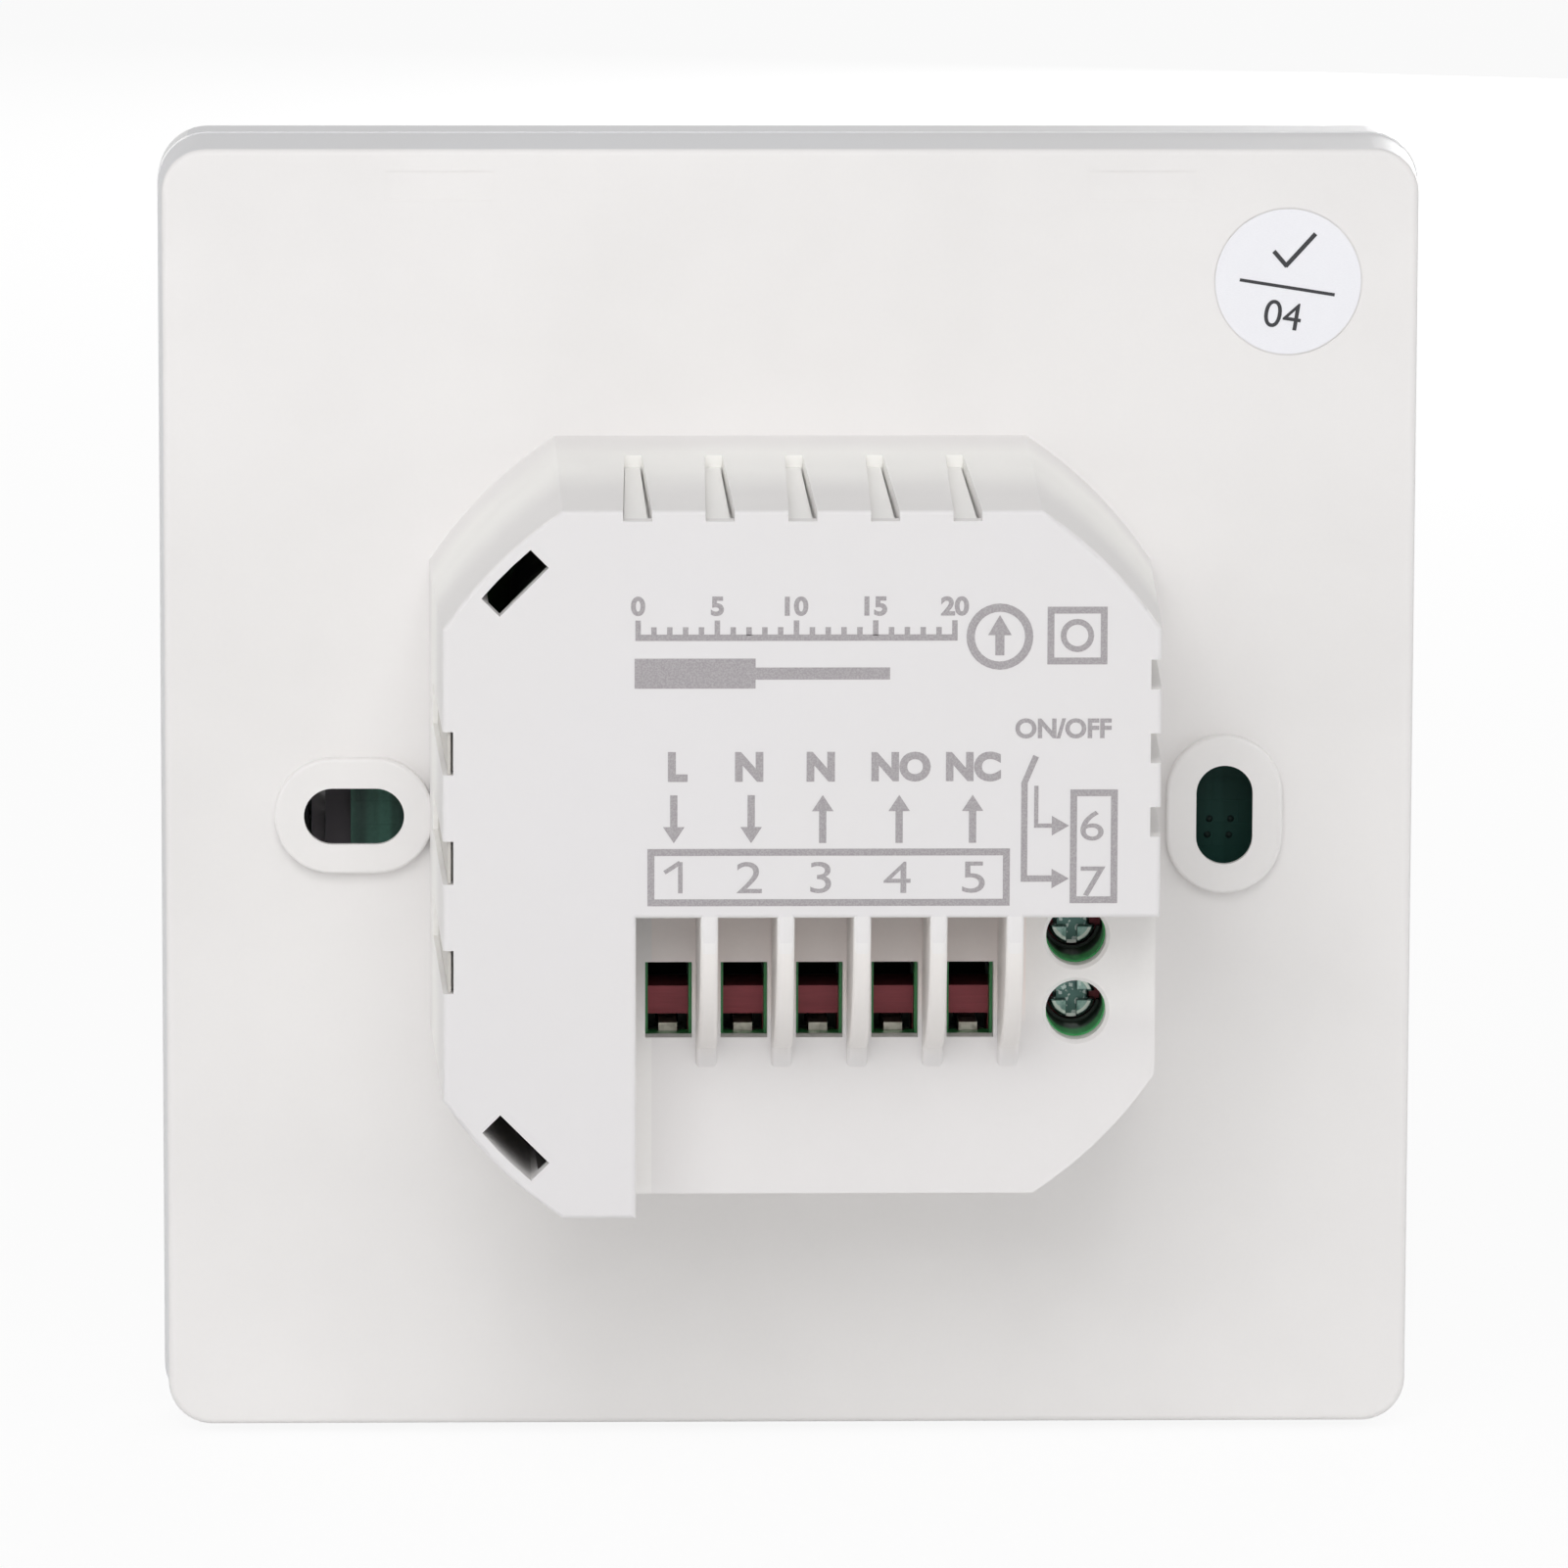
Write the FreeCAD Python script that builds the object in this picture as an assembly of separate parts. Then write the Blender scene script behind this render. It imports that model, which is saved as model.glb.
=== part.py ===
import FreeCAD, Part
import math
import os

os.makedirs("parts", exist_ok=True)
V = FreeCAD.Vector

# A wall thermostat, in millimetres. X runs to the right as seen from the rear, Z is up,
# and depth d runs from the wall plane into the wall, so Y = -d. The display faces +Y.
# Places below are measured from the panel's centre. The frame's origin is midway between
# the two wall-screw slots, on the wall plane.

# Panel, which is the flat part of the rear housing
panel_width = 86.0
panel_height = 89.0
panel_corner = 3.0
panel_edge_round = 0.45
panel_thickness = 2.0
tray_depth = 7.0
side_flare = 0.4
side_wall = 1.8

# Box behind the panel, which goes into a 60 mm round wall box
box_width = 49.6
box_round_diameter = 59.2
box_depth = 30.0
box_draft = 1.0
box_wall = 1.5
box_edge_round = 0.3

# Recess of the box that holds the wiring side
recess_step = 10.0
recess_top = -3.5

# Wall screws
screw_spacing = 60.0
screw_line_below_centre = 1.5
screw_slot_length = 6.9
screw_slot_width = 3.9
screw_slot_lip = 0.5
screw_slot_relief = 0.55
ear_length = 11.0
ear_width = 8.0
ear_height = 1.0
ear_edge_round = 0.25

# Vents, notches and snap windows of the box
vent_count = 5
vent_pitch = 5.45
vent_start = 8.0
vent_narrow = 1.2
vent_wide = 1.95
slot_bite = 0.7
slot_cut_in = 0.4
shield_gap = 0.05
shield_thickness = 0.7
shield_past_vents = 3.9
vent_floor = 0.85
notch_floor = 0.35
louvre_gap = 0.03
louvre_slit = 0.28
notch_slit = 0.17
notch_end_gap = 0.3
shield_start = 5.0
left_notch_centres = (7.6, 0.25, -7.1)
left_notch_length = 2.9
right_notch_centres = (12.85, 7.9, 2.95)
right_notch_length = 2.0
snap_outer_radius = 27.8
snap_depth = 1.8
snap_length = 4.6
snap_groove_start = 5.0

# Terminals
terminal_pitch = 5.08
blocks_apart = 4.6
second_block_from_wall = 6.0
second_block_corner_room = 1.9
second_block_drop = 3.05
clamp_from_bottom = 11.8
clamp_axis_from_floor = 4.3
window_width = 3.15
window_over = 4.75
window_under = 0.42
entry_width = 2.75
entry_under = 0.52
window_to_column = 0.76
well_diameter = 4.06
well_chamfer = 0.25
well_step = 0.08
ring_ledge = 0.6
ring_gap = 0.15
ring_slit = 0.84
block_skin = 0.7
block_foot = 0.8
block_seat_gap = 0.2

# One terminal clamp, along its screw from the clamping face towards the screw's head
clamp_travel = 2.0
jaw_gap = 0.55
jaw_thickness = 1.9
contact_thickness = 0.7
contact_width = 1.25
nut_thickness = 2.5
cage_width = 3.4
cage_length = 4.2
cage_wall = 0.35
thread_diameter = 2.4
head_diameter = 3.2
head_height = 1.0
driver_slot = 0.7
driver_depth = 0.6
driver_cross = 2.3
head_chamfer = 0.2
head_notch_from = 1.0
head_notch_width = 0.56
thread_gap = 0.08
screw_end_gap = 0.2
clamp_gap = 0.1
housing_gap = 0.15
contact_past_cage = 0.5
contact_leg_width = 0.8
contact_leg_overlap = 0.4
contact_past_board = 1.2

# Ribs between the wire windows
rib_top_width = 1.15
rib_foot_width = 1.45
rib_foot_under_window = 2.03
rib_knee_under_window = 0.48
rib_knee_height = 1.3
rib_edge_round = 0.3

# Power board and its fixing
board_thickness = 1.6
power_board_depth = 2.4
board_gap = 0.3
post_diameter = 5.0
post_from_wall = 4.43
post_bore_depth = 9.0
screw_diameter = 2.2
screw_thread_gap = 0.075
screw_hole_gap = 0.15
screw_length = 7.2
screw_head_diameter = 4.0
screw_head_height = 1.3
screw_head_round = 0.4
screw_recess_length = 2.2
screw_recess_width = 0.6
screw_recess_depth = 0.7
catch_height = 1.2
catch_reach = 1.8
catch_gap = 0.15
lead_diameter = 0.7
lead_past_board = 1.0
pin_gap = 0.15
stand_off = 0.1
piece_gap = 0.6

# Pieces on the power board
relay_length = 18.4
relay_width = 10.2
relay_height = 15.4
relay_corner = 0.6
relay_lead_inset = 1.6
relay_side_lead_inset = 1.4
relay_coil_lead = 8.0
relay_wall_gap = 0.9
relays_apart = 0.7
transformer_width = 12.6
transformer_length = 12.6
transformer_height = 12.0
transformer_centre_z = 0.7
transformer_wall_gap = 1.2
transformer_lead_inset = 1.6
transformer_lead_edge = 1.2
transformer_lead_count = 4
core_thickness = 6.2
core_side = 2.4
core_end = 2.2
core_limb = 3.2
bobbin_foot = 2.5
bobbin_pillar_width = 4.6
bobbin_pillar_thickness = 1.1
winding_gap = 0.2
winding_limb_gap = 0.15
winding_past_core = 2.3
winding_corner = 1.2
bulk_capacitor_diameter = 10.0
bulk_capacitor_height = 16.0
bulk_capacitor_leads = 5.0
bulk_capacitor_wall_gap = 2.3
output_capacitor_diameter = 6.3
output_capacitor_height = 11.0
output_capacitor_leads = 2.5
can_edge_round = 0.5
can_groove_height = 1.5
can_groove_width = 0.7
can_groove_depth = 0.3
film_capacitor_width = 5.0
film_capacitor_length = 9.0
film_capacitor_height = 11.0
film_capacitor_corner_round = 0.3
film_capacitor_lead_inset = 1.0
varistor_diameter = 8.0
varistor_thickness = 3.0
varistor_edge_round = 0.9
varistor_stand = 1.4
varistor_leads = 5.0
fuse_diameter = 6.0
fuse_height = 7.0
fuse_leads = 5.0
fuse_to_block = 0.6
rectifier_width = 5.4
rectifier_length = 3.8
rectifier_height = 2.0
supply_chip_width = 3.9
supply_chip_length = 4.9
supply_chip_height = 1.5
chip_resistor_length = 2.0
chip_resistor_width = 1.25
chip_resistor_height = 0.6
chip_resistor_pitch = 3.4
chip_resistor_count = 4

# Plug between the two boards
header_gap = 6.0
header_count = 8
header_pitch = 2.54
header_width = 2.5
header_strip_height = 1.5
header_socket_height = 4.3
header_socket_floor = 0.3
header_pin = 0.6
header_hole = 0.9
header_pin_end_gap = 0.7
header_over_clamps = 4.0

# Front cover
front_depth = 5.0
front_edge_round = 1.0
front_wall = 1.2
cover_step = 0.08
front_inner_corner = 1.2
lens_thickness = 1.2
lens_border = 1.6
lens_corner = 2.2
lens_edge_round = 0.35
lens_gap = 0.15
lens_proud = 0.2
lip_height = 1.5
lip_root = 1.5
lip_thickness = 1.0
lip_gap = 0.15
tab_reach = 4.2
tab_place = 24.05
tab_width = 6.4
boss_diameter = 4.6

# Display and its board
glass_side_margin = 8.8
glass_top_margin = 11.3
glass_over_keys = 13.0
glass_thickness = 2.1
glass_ledge = 2.2
glass_gap = 0.2
backlight_thickness = 2.0
backlight_inset = 1.0
lamp_size = 1.4
lamp_length = 3.0
lamp_height = 1.2
lamp_gap = 0.2
lamp_count = 3
lamp_pitch = 14.0
carrier_side_border = 3.4
carrier_end_border = 2.2
carrier_corner = 1.0
key_count = 5
key_from_bottom = 15.5
key_pad_diameter = 6.0
key_hole_gap = 0.8
key_end_margin = 4.3
display_board_left_margin = 12.7
display_board_right_margin = 9.0
display_board_end_margin = 5.0
display_board_corner = 1.5
display_screw_inset = 2.8
display_screw_end_inset = 2.5

# Pieces on the display board
radio_width = 16.0
radio_length = 24.0
radio_thickness = 0.8
radio_end_margin = 2.0
radio_edge = 1.0
shield_can_length = 16.0
shield_can_height = 1.8
shield_can_wall = 0.3
shield_can_round = 0.4
controller_size = 8.0
controller_height = 1.4
controller_stand = 0.1
controller_from_right = 16.0
controller_from_top = 19.5
controller_legs = 8
controller_leg_pitch = 0.9
controller_leg_width = 0.36
controller_leg_reach = 1.0
controller_leg_height = 0.5
cell_diameter = 12.5
cell_thickness = 2.0
cell_edge_round = 0.3
cell_from_left = 9.5
cell_z = 6.0
cell_cup_floor = 0.5
cell_cup_gap = 0.15
cell_cup_wall = 1.1
cell_bridge_width = 3.0
cell_bridge_thickness = 0.3
cell_bridge_gap = 0.1
buzzer_from_right = 23.5
buzzer_z = 7.0
buzzer_diameter = 9.0
buzzer_height = 4.2
buzzer_hole = 1.8
buzzer_hole_depth = 1.2
sensor_bead = 2.0
sensor_drop = 1.4
sensor_lead = 0.5
sensor_lead_gap = 1.0
sensor_lead_on_board = 2.0
sensor_pad_width = 0.8
sensor_pad_height = 0.6
chip_row_pitch = 3.2
chip_row_count = 6
crystal_length = 4.0
crystal_width = 1.8
crystal_height = 1.2

# Marks, slots and the disc
vent_shield_clearance = 1.8
vent_shield_right_clearance = 1.0
mould_mark_width = 7.4
mould_mark_height = 2.0
mould_mark_from_top = 1.5
mould_mark_depth = 0.06
air_slot_count = 7
air_slot_pitch = 3.2
air_slot_width = 1.2
air_slot_start = 3.0
air_slot_length = 2.6
pry_width = 8.0
pry_depth = 0.9
pry_bite = 0.6
inspection_disc_diameter = 10.0
inspection_disc_from_right = 8.9
inspection_disc_from_top = 9.1
film_thickness = 0.1
disc_recess_gap = 0.1

# Depths and places that follow from the sizes above
past = 1.0
face_inside = box_depth - box_wall
floor_depth = box_depth - recess_step
floor_inside = floor_depth - box_wall
draft_slope = box_draft / box_depth
power_board_front = power_board_depth - board_thickness
display_board_rear = power_board_front - header_gap
display_board_front = display_board_rear - board_thickness
front_face = -tray_depth - front_depth
lens_back = front_face - lens_proud + lens_thickness
front_wall_back = lens_back + front_wall
screw_line_z = -screw_line_below_centre
contact_top = contact_thickness
nut_bottom = contact_top + clamp_travel + clamp_gap
nut_top = nut_bottom + nut_thickness
head_bottom = nut_top + screw_end_gap
head_top = head_bottom + head_height
jaw_room = jaw_gap + jaw_thickness + clamp_travel + housing_gap
clamp_axis_depth = floor_inside - clamp_axis_from_floor
clamp_face_depth = power_board_depth + jaw_room + block_skin
second_block_top = recess_top - second_block_drop
second_terminals = [second_block_top - k * terminal_pitch for k in range(2)]


def box_reach(across):
    """How far the box's outline reaches beside its middle, past a point so far across it."""
    radius = box_round_diameter / 2
    return min(box_width / 2, math.sqrt(max(radius * radius - across * across, 0.0)))


second_block_corner = second_terminals[-1] - terminal_pitch / 2 - second_block_corner_room
second_block_x = box_reach(second_block_corner) - second_block_from_wall
first_block_centre = second_block_x - 2.5 * terminal_pitch - blocks_apart
first_terminals = [first_block_centre + (k - 2) * terminal_pitch for k in range(5)]
clamp_face_z = clamp_from_bottom - box_reach(first_terminals[-1] + terminal_pitch / 2)
column_edge = first_terminals[0] - window_width / 2 - window_to_column
rib_foot_z = clamp_face_z - window_under - rib_foot_under_window
rib_knee_z = clamp_face_z - window_under - rib_knee_under_window
post_place = (box_round_diameter / 2 - post_from_wall) * math.sqrt(0.5)
post_edge = post_place - post_diameter / 2
lip_inset = side_wall + lip_gap


def block(x, d, z):
    """A box between two values of x, of depth and of z."""
    return Part.makeBox(x[1] - x[0], d[1] - d[0], z[1] - z[0], V(x[0], -d[1], z[0]))


def rod_d(x, z, diameter, d):
    """A round bar along the depth."""
    return Part.makeCylinder(diameter / 2, d[1] - d[0], V(x, -d[0], z), V(0, -1, 0))


def rod_z(x, d, diameter, z):
    """An upright round bar."""
    return Part.makeCylinder(diameter / 2, z[1] - z[0], V(x, -d, z[0]), V(0, 0, 1))


def ring_d(x, z, outer, inner, d):
    """A tube along the depth."""
    return rod_d(x, z, outer, d).cut(rod_d(x, z, inner, (d[0] - 1, d[1] + 1)))


def tidy(shape):
    """Merges the faces that a union left split, and gives the solid itself."""
    clean = shape.removeSplitter()
    solids = clean.Solids
    return solids[0] if len(solids) == 1 else clean


def join(shapes):
    """One solid out of several that touch."""
    first = shapes[0]
    return tidy(first.fuse(shapes[1:])) if len(shapes) > 1 else first


def turned(shape, degrees):
    """A copy turned about the depth axis through the panel's centre."""
    copy = shape.copy()
    copy.rotate(V(0, 0, 0), V(0, 1, 0), degrees)
    return copy


def rounded_outline(width, height, corner, d, x=0.0, z=0.0):
    """A rectangle with round corners, as a wire at one depth."""
    a = width / 2
    b = height / 2
    c = a - corner
    e = b - corner
    s = corner * math.sqrt(0.5)
    at = lambda u, w: V(x + u, -d, z + w)
    edges = []
    for sx, sz, flip in ((1, 1, False), (1, -1, True), (-1, -1, False), (-1, 1, True)):
        ends = [at(sx * c, sz * b), at(sx * a, sz * e)]
        if flip:
            ends.reverse()
        middle = at(sx * (c + s), sz * (e + s))
        edges.append(Part.Arc(ends[0], middle, ends[1]).toShape())
    for k in range(4):
        tail = edges[2 * k].Vertexes[-1].Point
        head = edges[(2 * k + 1) % len(edges)].Vertexes[0].Point
        edges.insert(2 * k + 1, Part.makeLine(tail, head))
    return Part.Wire(edges)


def rounded_block(width, height, corner, d, x=0.0, z=0.0):
    """A flat block with round corners between two depths."""
    face = Part.Face(rounded_outline(width, height, corner, d[0], x, z))
    return face.extrude(V(0, d[0] - d[1], 0))


def stadium(x, z, length, width, d, upright):
    """A slot-shaped block: two half rounds and the straight part between them."""
    half = (length - width) / 2
    if upright:
        core = block((x - width / 2, x + width / 2), d, (z - half, z + half))
        ends = [rod_d(x, z + k * half, width, d) for k in (-1, 1)]
    else:
        core = block((x - half, x + half), d, (z - width / 2, z + width / 2))
        ends = [rod_d(x + k * half, z, width, d) for k in (-1, 1)]
    return join([core] + ends)


def tray_outline(inset, d):
    """The panel's outline at a depth in front of the wall, moved inwards by an inset."""
    flare = side_flare * -d / tray_depth
    width = panel_width + 2 * (flare - inset)
    height = panel_height + 2 * (flare - inset)
    corner = max(panel_corner + flare - inset, 0.5)
    return rounded_outline(width, height, corner, d)


def tray_form(inset, d):
    """The flared block between two depths in front of the wall."""
    return Part.makeLoft([tray_outline(inset, d[1]), tray_outline(inset, d[0])], True, True)


def square_outline(half, d):
    points = [V(-half, -d, -half), V(half, -d, -half), V(half, -d, half), V(-half, -d, half)]
    return Part.makePolygon(points + [points[0]])


def box_form(inset, d):
    """The box between two depths: a drafted square whose corners a drafted round cuts."""
    half = [box_width / 2 - inset - draft_slope * e for e in d]
    radius = [box_round_diameter / 2 - inset - draft_slope * e for e in d]
    square = Part.makeLoft([square_outline(half[0], d[0]), square_outline(half[1], d[1])], True, True)
    cone = Part.makeCone(radius[0], radius[1], d[1] - d[0], V(0, -d[0], 0), V(0, -1, 0))
    return square.common(cone)


def box_half(d, inset=0.0):
    return box_width / 2 - inset - draft_slope * d


def edges_at_depth(shape, d):
    """The edges that lie wholly at one depth."""
    return [e for e in shape.Edges if all(abs(v.Y + d) < 1e-6 for v in e.Vertexes)]


def top_slot(x, narrow, wide):
    """A cutter for a slot in the box's upper wall that runs out through its face."""
    end = box_depth + past
    points = [
        V(x - narrow / 2, -vent_start, 0),
        V(x + narrow / 2, -vent_start, 0),
        V(x + wide / 2, -end, 0),
        V(x - wide / 2, -end, 0),
    ]
    low = box_half(box_depth, box_wall) - slot_cut_in
    top = box_width / 2 + past
    flat = Part.Face(Part.makePolygon(points + [points[0]]))
    flat.translate(V(0, 0, low))
    cutter = flat.extrude(V(0, 0, top - low))
    bite = box_half(box_depth) - slot_bite
    return cutter.cut(block((x - wide, x + wide), (face_inside, end + past), (low - past, bite)))


def inner_reach(z, d, inset=0.0):
    """How far the box's inside reaches from its middle, at a height z and a depth d."""
    half = box_half(d, box_wall + inset)
    radius = box_round_diameter / 2 - box_wall - inset - draft_slope * d
    return min(half, math.sqrt(max(radius * radius - z * z, 0.0)))


def terminal_frames():
    """The seven clamps: a number, the clamp's origin, its screw, wire and width directions."""
    frames = []
    for k, x in enumerate(first_terminals):
        origin = V(x, -clamp_axis_depth, clamp_face_z)
        frames.append((k + 1, origin, V(0, 0, -1), V(0, -1, 0), V(1, 0, 0)))
    for k, z in enumerate(second_terminals):
        origin = V(second_block_x, -clamp_face_depth, z)
        frames.append((k + 6, origin, V(0, -1, 0), V(1, 0, 0), V(0, 0, 1)))
    return frames


def clamp_block(frame, s, w, p):
    """A box in a clamp's own directions: s along the screw, w along the wire, p across."""
    number, origin, along, wire, across = frame
    corners = [origin + along * s[i] + wire * w[i] + across * p[i] for i in (0, 1)]
    low = [min(c[i] for c in corners) for i in range(3)]
    size = [abs(corners[1][i] - corners[0][i]) for i in range(3)]
    return Part.makeBox(size[0], size[1], size[2], V(*low))


def clamp_rod(frame, diameter, s):
    """A round bar along a clamp's screw."""
    number, origin, along, wire, across = frame
    return Part.makeCylinder(diameter / 2, s[1] - s[0], origin + along * s[0], along)


def clamp_screw(frame):
    """A terminal screw with a cross recess whose one slot runs right across the head."""
    half = driver_slot / 2
    deep = (head_top - driver_depth, head_top + past)
    head = clamp_rod(frame, head_diameter, (head_bottom, head_top))
    rim = [e for e in head.Edges if len(e.Vertexes) == 1]
    head = head.makeChamfer(head_chamfer, rim)
    screw = join([head, clamp_rod(frame, thread_diameter, (contact_top + screw_end_gap, head_bottom))])
    slot = clamp_block(frame, deep, (-half, half), (-head_diameter, head_diameter))
    cross = clamp_block(frame, deep, (-driver_cross / 2, driver_cross / 2), (-half, half))
    cutters = [slot, cross]
    edge = head_notch_width / 2
    for reach in ((-head_diameter, -head_notch_from), (head_notch_from, head_diameter)):
        cutters.append(clamp_block(frame, (head_bottom - past, head_top + past), reach, (-edge, edge)))
    return tidy(screw.cut(cutters))


def clamp_cage(frame):
    """The rising cage: a jaw over the wire, two side walls and a nut round the screw."""
    half = cage_width / 2
    long = (-cage_length / 2, cage_length / 2)
    body = clamp_block(frame, (-jaw_gap - jaw_thickness, nut_top), long, (-half, half))
    inner = half - cage_wall
    hole = clamp_block(frame, (-jaw_gap, nut_bottom), (-cage_length, cage_length), (-inner, inner))
    bore = clamp_rod(frame, thread_diameter + 2 * thread_gap, (nut_bottom - past, nut_top + past))
    return tidy(body.cut(hole).cut(bore))


def clamp_cavity(frame):
    """The space in a terminal housing that one clamp, its screw and its wire need."""
    half = cage_width / 2 + housing_gap
    long = cage_length / 2 + housing_gap
    room_top = nut_top + clamp_gap
    ledge_top = room_top + ring_ledge
    room = clamp_block(frame, (-jaw_room, room_top), (-long, long), (-half, half))
    reach = well_diameter / 2 - well_step
    well = clamp_rod(frame, 2 * reach, (ledge_top, head_top + box_depth))
    neck_s = (nut_bottom, ledge_top + well_step)
    neck = clamp_rod(frame, head_diameter + 2 * ring_gap, neck_s)
    slit = clamp_block(frame, neck_s, (-reach, reach), (-ring_slit / 2, ring_slit / 2))
    wide = entry_width / 2
    entry = clamp_block(frame, (-window_over, entry_under), (0, box_depth), (-wide, wide))
    cutters = [room, well, neck, slit, entry]
    if frame[0] < 6:
        over_jaw = (-jaw_room, -jaw_gap - jaw_thickness)
        cutters.append(clamp_block(frame, over_jaw, (-clamp_axis_depth, 0), (-wide, wide)))
    return cutters


def rear_housing():
    """Panel, box, recess, ears and every opening of the rear moulding."""
    panel = tray_form(0, (-tray_depth, 0))
    panel = panel.makeFillet(panel_edge_round, edges_at_depth(panel, 0))
    pocket = Part.makeLoft(
        [tray_outline(side_wall, -panel_thickness), tray_outline(side_wall, -tray_depth)], True, True
    )
    outside = box_form(0, (-panel_thickness / 2, box_depth))
    far = box_width
    recess = block((column_edge, far), (floor_depth, 2 * box_depth), (-far, recess_top))
    outside = tidy(outside.cut(recess))
    outside = outside.makeFillet(box_edge_round, edges_at_depth(outside, box_depth))
    inside = box_form(box_wall, (-panel_thickness - past, face_inside))
    kept_z = (-far, recess_top + box_wall)
    kept = block((column_edge - box_wall, far), (floor_inside, 2 * box_depth), kept_z)
    inside = inside.cut(kept)
    ears = []
    for side, upright in ((-1, False), (1, True)):
        x = side * screw_spacing / 2
        ear = stadium(x, screw_line_z, ear_length, ear_width, (-panel_thickness / 2, ear_height), upright)
        ears.append(ear.makeFillet(ear_edge_round, edges_at_depth(ear, ear_height)))
    body = panel.fuse([outside] + ears)
    body = body.cut([pocket, inside])

    cutters = []
    for side, upright in ((-1, False), (1, True)):
        x = side * screw_spacing / 2
        through = (-panel_thickness - past, ear_height + past)
        cutters.append(stadium(x, screw_line_z, screw_slot_length, screw_slot_width, through, upright))
        long = screw_slot_length + 2 * screw_slot_relief
        wide = screw_slot_width + 2 * screw_slot_relief
        behind = (-panel_thickness - past, ear_height - screw_slot_lip)
        cutters.append(stadium(x, screw_line_z, long, wide, behind, upright))
    for k in range(vent_count):
        x = (k - (vent_count - 1) / 2) * vent_pitch
        cutters.append(top_slot(x, vent_narrow, vent_wide))
    for z in left_notch_centres:
        cutters.append(turned(top_slot(z, left_notch_length, left_notch_length), -90))
    for z in right_notch_centres:
        cutters.append(turned(top_slot(-z, right_notch_length, right_notch_length), 90))
    snap = block(
        (snap_outer_radius - snap_depth, snap_outer_radius + past),
        (snap_groove_start, box_depth + past),
        (-snap_length / 2, snap_length / 2),
    )
    snap = snap.common(rod_d(0, 0, 2 * snap_outer_radius, (0, box_depth + past)))
    cutters += [turned(snap, degrees) for degrees in (135, -135)]

    wide = window_width / 2
    for frame in terminal_frames():
        start = clamp_axis_from_floor - box_wall / 2
        if frame[0] > 5:
            start = box_half(floor_inside, box_wall) - second_block_x - box_wall / 2
        wire_way = (start, start + 4 * box_wall)
        cutters.append(clamp_block(frame, (-window_over, window_under), wire_way, (-wide, wide)))
    for x in first_terminals:
        bottom = -box_width / 2 - past
        cutters.append(rod_z(x, clamp_axis_depth, well_diameter, (bottom, bottom + 2 * box_wall + past)))
    for z in second_terminals:
        cutters.append(rod_d(second_block_x, z, well_diameter, (floor_inside - past, floor_depth + past)))
        start = V(second_block_x, -floor_depth + well_chamfer, z)
        wide_end = well_diameter / 2 + well_chamfer
        cutters.append(Part.makeCone(well_diameter / 2, wide_end, well_chamfer, start, V(0, -1, 0)))
    body = body.cut(cutters)

    ribs = [rib(x + terminal_pitch / 2) for x in first_terminals]
    posts = []
    for sign, deep in ((1, face_inside), (-1, floor_inside)):
        place = (post_place, sign * post_place)
        post = rod_d(place[0], place[1], post_diameter, (power_board_depth, deep + box_wall / 2))
        bore = rod_d(place[0], place[1], screw_diameter, (power_board_depth - past, post_bore_depth))
        posts.append(post.cut(bore))
    catches = [turned(board_catch(), degrees) for degrees in (135, -135)]
    body = body.fuse(ribs + posts + catches)
    return tidy(body.cut(panel_marks()))


def panel_marks():
    """Cutters for the mould marks, the air slots, the pry notch and the disc's shallow seat."""
    cutters = []
    top = panel_height / 2 - mould_mark_from_top
    for side in (-1, 1):
        x = (side * tab_place - mould_mark_width / 2, side * tab_place + mould_mark_width / 2)
        cutters.append(block(x, (-mould_mark_depth, past), (top - mould_mark_height, top)))
    bottom = -panel_height / 2 - past
    for k in range(air_slot_count):
        x = (k - (air_slot_count - 1) / 2) * air_slot_pitch
        depth = (-air_slot_start - air_slot_length, -air_slot_start)
        z = (bottom, bottom + past + side_wall + side_flare)
        cutters.append(block((x - air_slot_width / 2, x + air_slot_width / 2), depth, z))
    notch_z = (bottom, bottom + past + pry_bite)
    notch_d = (-tray_depth - past, -tray_depth + pry_depth)
    cutters.append(block((-pry_width / 2, pry_width / 2), notch_d, notch_z))
    x, z = disc_place()
    cutters.append(rod_d(x, z, inspection_disc_diameter + 2 * disc_recess_gap, (-film_thickness, past)))
    return cutters


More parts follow.
